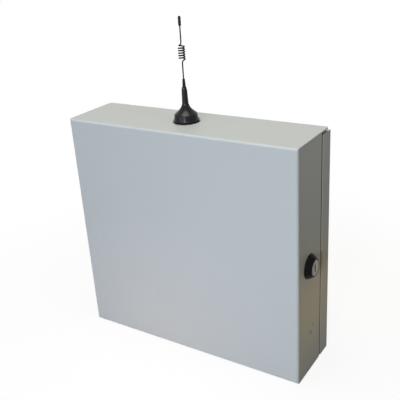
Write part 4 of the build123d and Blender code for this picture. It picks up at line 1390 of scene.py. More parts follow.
@dataclass
class WhipAntenna:
    """Magnetic foot, mast, sleeve, wire whip with its coil, and tip."""

    middle: Place = mm(-7.0, -41.6, 137.5)
    wire: float = 0.00072
    coil_radius: float = 0.0032
    coil_turns: float = 5.5
    coil_span: tuple[float, float] = (0.0682, 0.0824)
    coil_swell: float = 1.012
    steps_per_turn: int = 16
    lead_rise: tuple[float, float] = (0.0034, 0.0016)
    lead_out: float = 0.0006
    wire_below: tuple[float, ...] = (0.0340, 0.045, 0.058)
    wire_above: tuple[float, ...] = (0.093, 0.100, 0.1107)
    wire_steps: int = 4
    wire_rounding: int = 4
    pad_radius: float = 0.0136
    pad_height: float = 0.0008
    lip: Profile = ((0.0008, 0.0143), (0.0011, 0.0145), (0.0026, 0.0145), (0.0030, 0.0134), (0.0086, 0.0129))
    flare_span: tuple[float, float] = (0.0095, 0.022)
    flare: float = 0.0085
    flare_steps: int = 16
    mast_radius: float = 0.0035
    mast_top: Profile = ((0.035, 0.0031), (0.0358, 0.0030), (0.0380, 0.0025), (0.0386, 0.0023))

    def build(self) -> None:
        """Builds the antenna from its pad up."""
        pad = Bench.rod("rubber_pad", self.pad_radius, 0.0, self.pad_height, self.middle, sides=64)
        Bench.soften(pad, 0.0002)
        Bench.fit(pad, Body.DOOR, RUBBER, "rubber_black", ["antenna_pad"])
        self.foot()
        sleeve = Bench.lathe(
            "whip_sleeve",
            ((0.0336, 0.0018), (0.0386, 0.0018), (0.0400, 0.00178), (0.0455, 0.00146), (0.0473, 0.00132)),
            self.middle, sides=32,
        )
        Bench.soften(sleeve, 0.0002)
        Bench.fit(sleeve, Body.DOOR, RUBBER, "rubber_black", ["antenna_sleeve"])
        self.whip()
        tip = Bench.lathe(
            "whip_tip",
            ((0.1032, 0.00105), (0.1037, 0.00155), (0.1118, 0.00155), (0.1127, 0.00125), (0.1132, 0.00070)),
            self.middle, sides=32,
        )
        Bench.soften(tip, 0.00015)
        Bench.fit(tip, Body.DOOR, ANTENNA, "antenna_black", ["antenna_tip"])

    def foot(self) -> None:
        """The moulded foot: lip, waist, crown and the flare into the mast."""
        low, high = self.flare_span
        profile = [*self.lip]
        for step in range(self.flare_steps + 1):
            left = 1 - step / self.flare_steps
            profile.append((high - (high - low) * left, self.mast_radius + self.flare * left ** 2))
        foot = Bench.lathe("magnet_foot", [*profile, *self.mast_top], self.middle, sides=96)
        Bench.soften(foot, 0.00025, 3, 24.0)
        Bench.fit(foot, Body.DOOR, ANTENNA, "antenna_black", ["antenna_foot", "antenna_magnet"])

    def whip(self) -> None:
        """One smooth wire: straight, out to the coil, round it and straight again."""
        low, high = self.coil_span
        count = round(self.coil_turns * self.steps_per_turn)
        radius = self.coil_radius * self.coil_swell
        early, late = self.lead_rise
        route: list[Place] = [(0, 0, height) for height in (*self.wire_below, low - early)]
        route.append((self.lead_out, 0, low - late))
        for step in range(count + 1):
            turn = 2 * math.pi * self.coil_turns * step / count
            height = low + (high - low) * step / count
            route.append((radius * math.cos(turn), radius * math.sin(turn), height))
        route.append((-self.lead_out, 0, high + late))
        route += [(0, 0, height) for height in (high + early, *self.wire_above)]
        Bench.fresh()
        bpy.ops.curve.primitive_nurbs_path_add(location=ORIGIN)
        curve = bpy.context.active_object
        curve.name = "whip_wire"
        data = curve.data
        data.splines.clear()
        spline = data.splines.new("NURBS")
        spline.points.add(len(route) - 1)
        for point, place in zip(spline.points, route):
            point.co = (*(Vector(place) + Vector(self.middle)), 1.0)
        spline.order_u = 3
        spline.use_endpoint_u = True
        spline.resolution_u = self.wire_steps
        data.bevel_depth = self.wire
        data.bevel_resolution = self.wire_rounding
        data.use_fill_caps = True
        Bench.hold(curve)
        bpy.ops.object.convert(target="MESH")
        wire = bpy.context.active_object
        wire.data.name = "whip_wire"
        Bench.smooth(50.0)
        Bench.fit(wire, Body.DOOR, WHIP, "whip_black", ["antenna_whip"])


@dataclass
class DoorLock:
    """The lock on the right side: collar, barrel, plug with its key way, nut, cam and cam screw."""

    axis_start: Place = mm(145.0, -54.0, -2.0)
    barrel_radius: float = 0.0076
    head_radius: float = 0.0086
    half_flats: float = 0.0069
    plug_radius: float = 0.0060
    clearance: float = 0.00005
    barrel_end: float = -0.0210
    face: float = 0.0070
    cam_span: tuple[float, float] = mm(121.8, 123.8)
    cam_reach: float = 0.0270
    cam_half_width: float = 0.0070
    tail_half_side: float = 0.0030
    collar_bore: float = 0.0077
    seat: float = 0.0054
    seat_radius: float = 0.00872
    way_depth: float = 0.0120
    way_half_height: float = 0.0046
    way_span: tuple[float, float] = (-0.0014, 0.0006)
    ward_span: tuple[float, float] = (-0.0008, 0.0014)
    ward_top: float = 0.0008
    wafers_in_way: int = 5
    wafer_pitch: float = 0.0018
    first_wafer: float = 0.0004
    nut_flats: float = 0.0220
    nut_height: float = 0.0045
    nut_seat: float = 0.1438
    screw_flats: float = 0.0080
    screw_height: float = 0.0030
    play: float = 0.0001

    def build(self) -> None:
        """Builds the lock from the collar in to the cam."""
        self.collar()
        self.barrel()
        self.plug()
        self.wafers()
        self.fixings()
        self.cam()

    def turned(self, name: str, profile: Profile, sides: int = 96) -> Piece:
        """A piece turned on the lock's axis, which points out of the case.

        Args:
            name: the piece's name.
            profile: pairs of height over the case's side and radius.
            sides: how many sides it has.

        Returns:
            The piece.
        """
        return Bench.lathe(name, profile, self.axis_start, Axis.RIGHT, sides)

    def slab(self, name: str, low: Sequence[float], high: Sequence[float]) -> Piece:
        """A block placed from the point where the lock's axis leaves the case."""
        start = Vector(self.axis_start)
        return Bench.box(name, start + Vector(low), start + Vector(high))

    def collar(self) -> None:
        """The black collar, with the seat of the barrel's head turned into it."""
        cone = ((0.0, 0.0140), (0.0012, 0.0138), (0.0058, 0.0112), (0.0067, 0.0106), (self.face, 0.0101))
        ring = self.turned("lock_ring", cone)
        Bench.cut(ring, self.turned("bore", ((-0.002, self.collar_bore), (0.0053, self.collar_bore)), 64))
        Bench.cut(ring, self.turned("seat", ((self.seat, self.seat_radius), (0.0120, self.seat_radius))))
        Bench.soften(ring, 0.00025, 3, 20.0)
        Bench.fit(ring, Body.DOOR, COLLAR, "collar_black", ["lock_collar"])

    def barrel(self) -> None:
        """The barrel: a headed tube with two flats, rounded at its mouth."""
        end, head = self.barrel_end, self.head_radius
        barrel = self.turned("lock_barrel_tube", ((end, self.barrel_radius), (0.0062, self.barrel_radius)))
        wide = 0.02
        flats = self.slab("flats", (-wide * 2, -self.half_flats, -wide), (wide, self.half_flats, wide))
        Bench.combine(barrel, flats, "INTERSECT")
        Bench.weld(barrel, self.turned("head", ((self.seat, head), (self.face, head))))
        bore = self.plug_radius + self.clearance
        Bench.cut(barrel, self.turned("bore", ((end * 2, bore), (-end, bore))))
        Bench.soften(barrel, 0.0003, 3, 35.0)
        Bench.fit(barrel, Body.DOOR, CHROME, "lock_chrome", ["lock_barrel"])

    def plug(self) -> None:
        """The plug: a warded key way in its face and a square tail."""
        end, side = self.barrel_end, self.tail_half_side
        plug = self.turned("lock_plug_core", ((end, self.plug_radius), (self.face, self.plug_radius)))
        tail = self.cam_span[0] - self.axis_start[0]
        Bench.weld(plug, self.slab("tail", (tail, -side, -side), (end + 0.0002, side, side)))
        floor, over, half = self.face - self.way_depth, self.face + 0.002, self.way_half_height
        near, far = self.way_span
        Bench.cut(plug, self.slab("way", (floor, near, -half), (over, far, half)))
        near, far = self.ward_span
        Bench.cut(plug, self.slab("ward", (floor, near, -half), (over, far, self.ward_top)))
        Bench.soften(plug, 0.00022, 2, 35.0)
        Bench.fit(plug, Body.LOCK_CORE, CHROME, "lock_chrome", ["lock_plug"])

    def wafers(self) -> None:
        """Thin plates across the key way, one behind the other."""
        x, y, z = self.axis_start
        plate = Bench.box("key_way_wafers", (-0.0011, -0.0013, -0.0045), (0.0, 0.0005, 0.0045))
        Bench.pick_side(plate, Axis.RIGHT)
        bpy.ops.mesh.inset(thickness=0.00035, depth=-0.0003)
        Bench.soften(plate, 0.00008, 2)
        first = x + self.face - self.first_wafer
        stack = [(first - row * self.wafer_pitch, y, z) for row in range(self.wafers_in_way)]
        Bench.copies(plate, stack)
        Bench.fit(plate, Body.LOCK_CORE, WAFER, "lock_chrome")

    def fixings(self) -> None:
        """The nut on the barrel and the screw that clamps the cam."""
        _, y, z = self.axis_start
        bore = self.barrel_radius + self.play
        nut = Fastener.hexagon("barrel_nut", self.nut_flats, self.nut_height, bore, Axis.LEFT)
        Bench.put(nut, Matrix.Translation((self.nut_seat, y, z)))
        Bench.fit(nut, Body.DOOR, ZINC, "zinc_steel", ["lock_nut"])
        screw = Fastener.hexagon("cam_clamp_screw", self.screw_flats, self.screw_height, 0.0, Axis.LEFT)
        Bench.put(screw, Matrix.Translation((self.cam_span[0], y, z)))
        Bench.fit(screw, Body.LOCK_CORE, ZINC, "zinc_steel", ["cam_screw"])

    def cam(self) -> None:
        """The flat cam: two round ends, a strip between them and a square hole."""
        _, y, z = self.axis_start
        low, high = self.cam_span
        half, side = self.cam_half_width, self.tail_half_side + self.play
        end = y + self.cam_reach
        cam = Bench.box("latch_cam", (low, y, z - half), (high, end, z + half))
        for middle in (y, end):
            Bench.weld(cam, Bench.rod("round", half, low, high, (0, middle, z), Axis.RIGHT, 64))
        under, over = (low - 0.001, y - side, z - side), (high + 0.001, y + side, z + side)
        Bench.cut(cam, Bench.box("hole", under, over))
        Bench.soften(cam, 0.0003, 2, 35.0)
        Bench.fit(cam, Body.LOCK_CORE, ZINC, "zinc_steel", ["lock_cam"])


@dataclass
class Hinges:
    """Two hinges on the left side: rolled knuckles, welded leaves and headed pins."""

    axis: Place = mm(-148.4, -23.0, 0.0)
    middles: tuple[float, float] = mm(-85.0, 85.0)
    half_height: float = 0.020
    knuckle_radius: float = 0.0030
    bore: float = 0.00155
    knuckle_pitch: float = 0.0134333
    knuckle_height: float = 0.0131333
    wall_x: float = -0.145
    sheet: float = 0.0015
    plate_span: tuple[float, float] = mm(3.6, 13.0)
    weld_heights: Place = mm(-13.5, 0.0, 13.5)
    dimple: Profile = ((-0.0003, 0.0024), (0.0, 0.0021), (0.00012, 0.0013))
    pin_head: Profile = (
        (0.0, 0.0015), (0.0, 0.0026), (0.0003, 0.0026), (0.0008, 0.0023), (0.0011, 0.0016), (0.0012, 0.0009)
    )

    def build(self) -> None:
        """Builds both leaves of both hinges and their pins."""
        pan = self.leaf("pan_hinge_leaves", 1.0, (0, 2))
        Bench.fit(pan, Body.CASE, CASE_PAINT, "case_paint", ["hinge_pan_leaves"])
        door = self.leaf("door_hinge_leaves", -1.0, (1,))
        Bench.fit(door, Body.DOOR, CASE_PAINT, "case_paint", ["hinge_door_leaves"])
        self.pins()

    def leaf(self, name: str, toward: float, places: Sequence[int]) -> Piece:
        """One leaf with its knuckles and weld marks, copied to both hinges.

        Args:
            name: the piece's name.
            toward: 1 for the pan's side, -1 for the door's side.
            places: which knuckles it has, from the bottom.

        Returns:
            Both leaves as one object.
        """
        x, y, _ = self.axis
        near, far = (y + toward * reach for reach in self.plate_span)
        half, outer = self.half_height, self.wall_x - self.sheet
        leaf = Bench.box(name, (outer, min(near, far), -half), (self.wall_x, max(near, far), half))
        for place in places:
            low = place * self.knuckle_pitch - half
            high = low + self.knuckle_height
            inner = near + toward * self.sheet
            tongue = (outer, min(y, inner), low), (self.wall_x, max(y, inner), high)
            Bench.weld(leaf, Bench.box("tongue", *tongue))
            Bench.weld(leaf, Bench.rod("roll", self.knuckle_radius, low, high, (x, y, 0.0), sides=40))
        Bench.cut(leaf, Bench.rod("bore", self.bore, -2 * half, 2 * half, (x, y, 0.0), sides=40))
        for height in self.weld_heights:
            face = (outer, (near + far) / 2, height)
            Bench.cut(leaf, Bench.lathe("dimple", self.dimple, face, Axis.RIGHT, 24))
        Bench.soften(leaf, 0.0002, 2)
        return Bench.copies(leaf, [(0.0, 0.0, middle) for middle in self.middles])

    def pins(self) -> None:
        """The pins, with a domed head at each end."""
        upper = [(self.half_height + height, radius) for height, radius in self.pin_head]
        lower = [(-height, radius) for height, radius in reversed(upper)]
        pin = Bench.lathe("hinge_pin_pair", (*lower, *upper), (self.axis[0], self.axis[1], 0.0), sides=32)
        Bench.smooth(40.0)
        Bench.copies(pin, [(0.0, 0.0, middle) for middle in self.middles])
        Bench.fit(pin, Body.CASE, ZINC, "zinc_steel", ["hinge_pins"])


@dataclass
class RailRow:
    """What is on the devices that clip on the mounting rail."""

    rail_z: float = 0.0743
    lever_axis: Place = mm(9.8, -57.538, 74.3)
    lever_half_width: float = 0.015
    lever_lean: float = math.radians(35.0)
    device_screws: tuple[float, ...] = mm(0.8, 18.8, 37.4, 55.4)
    device_screw_heights: tuple[float, float] = mm(105.55, 43.05)
    device_floor: float = -0.042538
    nose_face: float = -0.061538
    cartridge_face: float = -0.063538
    cartridge_middles: tuple[float, float] = mm(37.4, 55.4)
    terminals: tuple[float, ...] = mm(67.6, 73.4, 79.2, 85.0, 90.8)
    terminal_reach: float = 0.0115
    terminal_floor: float = -0.0377
    stops: tuple[float, float] = mm(-12.8, 98.0)
    stop_face: float = -0.0287
    hub_radius: float = 0.0065
    arm_half_height: float = 0.0017
    arm_root: float = -0.009
    arm_end: float = -0.0148
    arm_tip: float = -0.0058
    arm_taper: Place = (0.98, 1.0, 0.8)
    groove_start: float = -0.0100
    groove_pitch: float = 0.0017
    groove_half: float = 0.0003
    groove_floor: float = 0.0012
    grooves: int = 3
    pole_window_z: float = 0.0600
    cartridge_window_z: float = 0.0880
    grip_z: float = 0.0570
    grip_pitch: float = 0.0020
    grips_each: int = 4

    def build(self) -> None:
        """Builds screws, lever, windows and grips."""
        self.screws()
        self.lever()
        self.windows()
        self.grips()

    def screws(self) -> None:
        """The clamp screws of the devices, terminals and end stops."""
        deep = [(x, self.device_floor, z) for x in self.device_screws for z in self.device_screw_heights]
        Fastener.row("device_clamp_screws", 0.0023, 0.0015, deep, Drive.CROSS)
        sides = (-self.terminal_reach, self.terminal_reach)
        small = [(x, self.terminal_floor, self.rail_z + side) for x in self.terminals for side in sides]
        Fastener.row("terminal_clamp_screws", 0.0014, 0.0009, small)
        ends = [(x, self.stop_face, self.rail_z) for x in self.stops]
        Fastener.row("end_stop_screws", 0.0024, 0.0012, ends)

    def lever(self) -> None:
        """The toggle: a round hub and a tapered arm with grip grooves."""
        x, y, z = self.lever_axis
        half, thick = self.lever_half_width, self.arm_half_height
        over, deep = half * 1.1, self.groove_half
        lever = Bench.rod("toggle_lever", self.hub_radius, -half, half, axis=Axis.RIGHT, sides=48)
        arm = Bench.box("arm", (-half, self.arm_root, -thick), (half, 0.0, thick))
        Bench.pick_side(arm, Axis.TO_FRONT)
        Bench.pull(0.0, self.arm_tip, 0.0)
        bpy.ops.transform.resize(value=self.arm_taper, center_override=(0.0, self.arm_end, 0.0))
        for row in range(self.grooves):
            middle = self.groove_start - row * self.groove_pitch
            low, high = (-over, middle - deep, self.groove_floor), (over, middle + deep, 0.003)
            Bench.cut(arm, Bench.box("groove", low, high))
        Bench.weld(lever, arm)
        Bench.soften(lever, 0.0003, 2)
        lean = Matrix.Rotation(-self.lever_lean, 4, "X")
        Bench.put(lever, Matrix.Translation((x, y, z)) @ lean)
        Bench.fit(lever, Body.LEVER, LEVER, "lever_black", ["breaker_lever"])

    def windows(self) -> None:
        """State windows: one for each breaker pole and each arrester cartridge."""
        places = [(x, self.nose_face, self.pole_window_z) for x in self.device_screws[:2]]
        places += [(x, self.cartridge_face, self.cartridge_window_z) for x in self.cartridge_middles]
        frames = Bench.rim("window_frames", (-0.0040, -0.0005, -0.0022), (0.0040, 0.0, 0.0022), 0.0006)
        Bench.soften(frames, 0.00012, 2)
        Bench.fit(Bench.copies(frames, places), Body.CASE, TERMINAL, "terminal_grey")
        panes = Bench.box("window_panes", (-0.0034, -0.0003, -0.0016), (0.0034, 0.0, 0.0016))
        Bench.soften(panes, 0.0001, 2)
        Bench.fit(Bench.copies(panes, places), Body.CASE, WINDOW, "earth_green")

    def grips(self) -> None:
        """Ribs at the foot of each cartridge, to pull it by."""
        rib = Bench.box("cartridge_grips", (-0.0065, -0.0007, -0.0005), (0.0065, 0.0, 0.0005))
        Bench.soften(rib, 0.0003, 2)
        heights = [self.grip_z + row * self.grip_pitch for row in range(self.grips_each)]
        rows = [(x, self.cartridge_face, z) for x in self.cartridge_middles for z in heights]
        Bench.fit(Bench.copies(rib, rows), Body.CASE, CARTRIDGE, "cartridge_red")


@dataclass
class PowerSupply:
    """What is on the power supply: clamp screws, cover screws, a trimmer and a lamp."""

    chamber_start: float = -0.1009
    chamber_pitch: float = 0.0090
    chambers: int = 8
    chamber_floor: float = -0.0102
    chamber_z: float = 0.0443
    cover_face: float = -0.0372
    cover_columns: tuple[float, float] = mm(-107.0, -31.8)
    cover_rows: tuple[float, float] = mm(59.0, 109.6)
    ledge_face: float = -0.0022
    lamp_x: float = -0.0300
    lamp_z: float = 0.0475
    lens: Profile = (
        (0.0, 0.0019), (0.0008, 0.0019), (0.0008, 0.0015), (0.0038, 0.0015), (0.0046, 0.0012),
        (0.0050, 0.0005),
    )
    trimmer_z: float = 0.0412
    trimmer_half: float = 0.0024
    trimmer_height: float = 0.0040

    def build(self) -> None:
        """Builds the screws, the trimmer and the lamp."""
        clamps = [(self.chamber_start + n * self.chamber_pitch, self.chamber_floor, self.chamber_z)
                  for n in range(self.chambers)]
        Fastener.row("supply_clamp_screws", 0.0030, 0.0018, clamps, Drive.CROSS)
        corners = [(x, self.cover_face, z) for x in self.cover_columns for z in self.cover_rows]
        Fastener.row("supply_cover_screws", 0.0027, 0.0013, corners, Drive.CROSS)
        place = (self.lamp_x, self.ledge_face, self.lamp_z)
        lamp = Bench.lathe("supply_lamp", self.lens, place, Axis.TO_FRONT, 24)
        Bench.smooth(40.0)
        Bench.fit(lamp, Body.CASE, WINDOW, "earth_green")
        self.trimmer()

    def trimmer(self) -> None:
        """The small trimmer that sets the output voltage: a block with a slotted wheel."""
        x, z, half = self.lamp_x, self.trimmer_z, self.trimmer_half
        top = self.ledge_face - self.trimmer_height
        low, high = (x - half, top, z - half), (x + half, self.ledge_face, z + half)
        block = Bench.box("supply_trimmer", low, high)
        Bench.soften(block, 0.0002, 2)
        wheel = Fastener.head("wheel", 0.0016, 0.0008, Drive.CROSS)
        Bench.put(wheel, Matrix.Translation((x, top, z)))
        Bench.join([block, wheel])
        Bench.fit(block, Body.CASE, SLEEVE, "capacitor_sleeve")


@dataclass
class EarthPoint:
    """The threaded stud on the back plate with its nut and washer."""

    foot: Place = mm(114.0, -1.2, -76.5)
    stud_radius: float = 0.0030
    stud_length: float = 0.0180
    washer_radius: float = 0.0065
    washer_height: float = 0.0012
    nut_flats: float = 0.0100
    nut_height: float = 0.0050
    thread_depth: float = 0.0004
    thread_pitch: float = 0.0010
    thread_start: float = 0.0074
    point_height: float = 0.0006
    point_share: float = 0.72
    play: float = 0.0001

    def build(self) -> None:
        """Builds the stud, then the nut on its washer."""
        end, radius = self.stud_length, self.stud_radius
        thread = Fastener.thread(
            radius, self.thread_depth, self.thread_pitch, self.thread_start, end - self.point_height
        )
        profile = [(0.0, radius), *thread, (end, radius * self.point_share)]
        stud = Bench.lathe("threaded_stud", profile, self.foot, Axis.TO_FRONT, 32)
        Bench.smooth(60.0)
        Bench.fit(stud, Body.CASE, ZINC, "zinc_steel", ["earth_stud"])
        bore = radius + self.play
        washer = Bench.rod(
            "stud_nut_and_washer", self.washer_radius, 0.0, self.washer_height, axis=Axis.TO_FRONT, sides=48
        )
        Bench.cut(washer, Bench.rod("bore", bore, -0.01, 0.01, axis=Axis.TO_FRONT))
        Bench.soften(washer, 0.0002, 2)
        nut = Fastener.hexagon("nut", self.nut_flats, self.nut_height, bore, Axis.TO_FRONT)
        Bench.put(nut, Matrix.Translation((0.0, -self.washer_height, 0.0)))
        Bench.join([washer, nut])
        Bench.put(washer, Matrix.Translation(self.foot))
        Bench.fit(washer, Body.CASE, BRASS, "earth_brass", ["earth_nut"])


@dataclass
class ControlBoard:
    """What is on the control board, from the plug screws at its foot to the keys, radio and jack near its
    head.
    """

    face: float = -0.0148
    plug_left: float = -0.10044
    plug_row_step: float = 0.06596
    plug_pitch: float = 0.00762
    plug_screw: tuple[float, float] = mm(-24.8, -97.0)
    output_start: float = -0.0920
    output_pitch: float = 0.0160
    outputs: int = 12
    chip_z: float = -0.0387
    drivers: tuple[float, ...] = mm(3.0, 21.0, 39.0, 57.0, 75.0)
    processor: Place = mm(-18.0, 8.0, 1.6)
    cell_x: float = -0.0455
    capacitors: Place = mm(-96.0, -83.0, -70.0)
    keys: tuple[tuple[float, float], ...] = (mm(-21.0, 12.3), mm(-6.0, 12.3), mm(-21.0, -2.7), mm(-6.0, -2.7))
    radio: tuple[float, ...] = mm(55.0, 81.0, -7.7, 18.3)
    jack: Place = mm(89.0, -18.8, 19.3)
    plug_rows: int = 3
    plug_ways: int = 8
    triac_screw: tuple[float, float] = (-0.0338, -0.0610)
    processor_leg_width: float = 0.00045
    processor_leg_pitch: float = 0.0011
    processor_side_legs: int = 13
    driver_leg_width: float = 0.00050
    driver_leg_height: float = 0.0012
    driver_leg_pitch: float = 0.00122
    driver_side_legs: int = 8
    driver_half_depth: float = 0.00375
    can: Profile = (
        (0.0, 0.0050), (0.0022, 0.0050), (0.0027, 0.0045), (0.0033, 0.0045), (0.0038, 0.0050),
        (0.0155, 0.0050), (0.0160, 0.0046), (0.0160, 0.0041), (0.0157, 0.0040),
    )
    cell_floor: float = -0.0160
    cell_can: Profile = ((0.0, 0.0093), (0.0003, 0.0100), (0.0028, 0.0100), (0.0032, 0.0096))
    spring_face: float = -0.0192
    spring_thickness: float = 0.0004
    key_face: float = -0.0237
    key_half: float = 0.0045
    radio_board: float = 0.0010
    radio_height: float = 0.0034
    radio_margin: float = 0.0015
    radio_holes: int = 11
    radio_hole_pitch: float = 0.0020
    small_chips: int = 5
    small_chip_pitch: float = 0.0030

    def build(self) -> None:
        """Builds every group of small parts."""
        self.outputs_row()
        self.legs()
        self.cans()
        self.cell()
        self.key_caps()
        self.radio_can()
        self.antenna_jack()
        self.small_parts()
        self.markings()

    def output_places(self) -> list[float]:
        """Where each lamp output is, from left to right."""
        return [self.output_start + n * self.output_pitch for n in range(self.outputs)]

    def outputs_row(self) -> None:
        """Plug screws, fuse covers with lids, lamp lenses and the screws of the triacs."""
        y, z = self.plug_screw
        ways = [(self.plug_left + row * self.plug_row_step + (way + 0.5) * self.plug_pitch, y, z)
                for row in range(self.plug_rows) for way in range(self.plug_ways)]
        Fastener.row("plug_screws", 0.0016, 0.0010, ways)
        places = [(x, self.face, 0.0) for x in self.output_places()]
        fuse = Bench.box("fuse_covers", (-0.0055, -0.0090, -0.0775), (0.0055, 0.0, -0.0695))
        Bench.pick_side(fuse, Axis.TO_FRONT)
        bpy.ops.mesh.inset(thickness=0.0009, depth=0.0)
        Bench.pull(0.0, 0.0006, 0.0)
        bpy.ops.mesh.inset(thickness=0.0008, depth=0.0)
        Bench.pull(0.0, -0.0004, 0.0)
        Bench.soften(fuse, 0.00022, 2)
        Bench.fit(Bench.copies(fuse, places), Body.CASE, FUSE, "fuse_black", ["output_fuses"])
        lens = Bench.box("lamp_lenses", (-0.0010, -0.0012, -0.0675), (0.0010, 0.0, -0.0661))
        Bench.pick_side(lens, Axis.TO_FRONT)
        bpy.ops.mesh.inset(thickness=0.00025, depth=0.0)
        Bench.pull(0.0, 0.0002, 0.0)
        Bench.soften(lens, 0.00008, 2)
        Bench.fit(Bench.copies(lens, places), Body.CASE, LAMP, "lamp_red", ["status_lamps"])
        tabs = [(x, *self.triac_screw) for x in self.output_places()]
        Fastener.row("triac_screws", 0.0022, 0.0013, tabs, Drive.CROSS, Axis.DOWN)

    @staticmethod
    def leg(name: str, width: float, height: float) -> Piece:
        """A flat-faced leg that leaves a chip's side, drops and lies on its pad.

        Args:
            name: the piece's name.
            width: how wide it is.
            height: how high over the board it leaves the chip.

        Returns:
            The leg, which points up from the origin.
        """
        thick, out, flat = 0.00018, 0.00042, 0.00075
        top, under = -height - thick / 2, -height + thick / 2
        leg = Bench.box(name, (-width / 2, top, -0.0002), (width / 2, under, out))
        Bench.pick_side(leg, Axis.UP)
        Bench.pull(0.0, height - thick / 2, thick)
        Bench.pull(0.0, 0.0, flat)
        Bench.fresh()
        return leg

    def leg_places(
        self, x: float, turns: Sequence[int], count: int, pitch: float, reach: float
    ) -> list[Matrix]:
        """Where the legs of one chip go.

        Args:
            x: the chip's middle.
            turns: the sides that have legs, in quarter turns.
            count: how many legs a side has.
            pitch: from leg to leg.
            reach: from the chip's middle to its side.

        Returns:
            A place and turn for each leg.
        """
        middle = Matrix.Translation((x, self.face, self.chip_z))
        places = []
        for turn in turns:
            spin = Matrix.Rotation(turn * math.pi / 2, 4, "Y")
            for n in range(count):
                offset = ((n - (count - 1) / 2) * pitch, 0.0, reach)
                places.append(middle @ spin @ Matrix.Translation(offset))
        return places

    def legs(self) -> None:
        """The bent legs of the processor and of the drivers."""
        x, side, height = self.processor
        places = self.leg_places(x, range(4), self.processor_side_legs, self.processor_leg_pitch, side)
        small = Bench.copies(self.leg("processor_legs", self.processor_leg_width, height / 2), places)
        Bench.fit(small, Body.CASE, SOLDER, "zinc_steel")
        places = []
        for driver in self.drivers:
            places += self.leg_places(
                driver, (0, 2), self.driver_side_legs, self.driver_leg_pitch, self.driver_half_depth
            )
        wide = Bench.copies(self.leg("driver_legs", self.driver_leg_width, self.driver_leg_height), places)
        Bench.fit(wide, Body.CASE, SOLDER, "zinc_steel")

    def cans(self) -> None:
        """Filter capacitors: crimped cans in a sleeve, with a scored bare top."""
        places = [(x, self.face, self.chip_z) for x in self.capacitors]
        sleeve = Bench.lathe("capacitor_cans", self.can, ORIGIN, Axis.TO_FRONT, 48)
        Bench.smooth(40.0)
        Bench.fit(Bench.copies(sleeve, places), Body.CASE, SLEEVE, "capacitor_sleeve", ["filter_capacitors"])
        top = Bench.rod("capacitor_tops", 0.0040, 0.0155, 0.0159, axis=Axis.TO_FRONT, sides=48)
        for x, z in ((0.0034, 0.00016), (0.00016, 0.0034)):
            Bench.cut(top, Bench.box("score", (-x, -0.0165, -z), (x, -0.01575, z)))
        Bench.smooth(30.0)
        Bench.fit(Bench.copies(top, places), Body.CASE, ALUMINIUM, "bare_aluminium")

    def cell(self) -> None:
        """The coin cell with its rolled rim, and the spring that holds it."""
        base = (self.cell_x, self.cell_floor, self.chip_z)
        cell = Bench.lathe("coin_cell_can", self.cell_can, base, Axis.TO_FRONT, 72)
        Bench.pick_side(cell, Axis.TO_FRONT)
        bpy.ops.mesh.inset(thickness=0.0012, depth=-0.0001)
        Bench.soften(cell, 0.00012, 2)
        Bench.fit(cell, Body.CASE, CELL, "cell_steel", ["coin_cell"])
        x, low, high = self.cell_x, self.chip_z + 0.0020, self.chip_z + 0.0117
        front, back = -0.0196, self.spring_face
        clip = Bench.box("cell_spring", (x - 0.0022, front, low), (x + 0.0022, back, high))
        Bench.pick_side(clip, Axis.UP)
        Bench.pull(0.0, 0.0, self.spring_thickness)
        Bench.pick(clip, lambda middle, normal: normal.y > FACING_COSINE and middle.z > high)
        Bench.pull(0.0, self.face - back, 0.0)
        Bench.soften(clip, 0.0001, 2)
        Bench.fit(clip, Body.CASE, SOLDER, "zinc_steel")

    def key_caps(self) -> None:
        """Four caps, each with a finger dish and a stem into its switch."""
        bodies = (Body.KEY_1, Body.KEY_2, Body.KEY_3, Body.KEY_4)
        for n, ((x, z), body) in enumerate(zip(self.keys, bodies), start=1):
            half, front = self.key_half, self.key_face
            cap = Bench.box(f"key_{n}_cap", (-half, front, -half), (half, -0.0197, half))
            Bench.pick_side(cap, Axis.TO_FRONT)
            bpy.ops.transform.resize(value=(0.96, 1.0, 0.96), center_override=(0.0, front, 0.0))
            bpy.ops.mesh.inset(thickness=0.0007, depth=0.0)
            bpy.ops.mesh.inset(thickness=0.0012, depth=-0.00045)
            Bench.pick_side(cap, Axis.TO_BACK)
            bpy.ops.mesh.inset(thickness=0.0013, depth=0.0)
            Bench.pull(0.0, 0.0025, 0.0)
            Bench.soften(cap, 0.0004)
            Bench.put(cap, Matrix.Translation((x, 0.0, z)))
            Bench.fit(cap, body, KEY, "key_grey", [f"key_cap_{n}"])

    def radio_can(self) -> None:
        """The radio: a small board with plated half holes round its edge, and a pressed can."""
        left, right, low, high = self.radio
        front, margin = self.face - self.radio_board, self.radio_margin
        board = Bench.box("radio_board", (left, front, low), (right, self.face, high))
        notch = Bench.rod("notch", 0.0004, -0.005, 0.005, axis=Axis.TO_FRONT, sides=12)
        heights = [low + 0.003 + n * self.radio_hole_pitch for n in range(self.radio_holes)]
        rows = [(x, self.face, z) for x in (left, right) for z in heights]
        Bench.cut(board, Bench.copies(notch, rows))
        Bench.smooth(30.0)
        Bench.fit(board, Body.CASE, BOARD, "board_green", ["radio_module"])
        can = Bench.box(
            "radio_shield", (left + margin, self.face - self.radio_height, low + margin),
            (right - margin, front, high - margin),
        )
        Bench.pick_side(can, Axis.TO_FRONT)
        bpy.ops.mesh.inset(thickness=0.0016, depth=0.0)
        bpy.ops.mesh.inset(thickness=0.0005, depth=-0.0003)
        Bench.soften(can, 0.00035)
        Bench.fit(can, Body.CASE, RADIO, "radio_can")

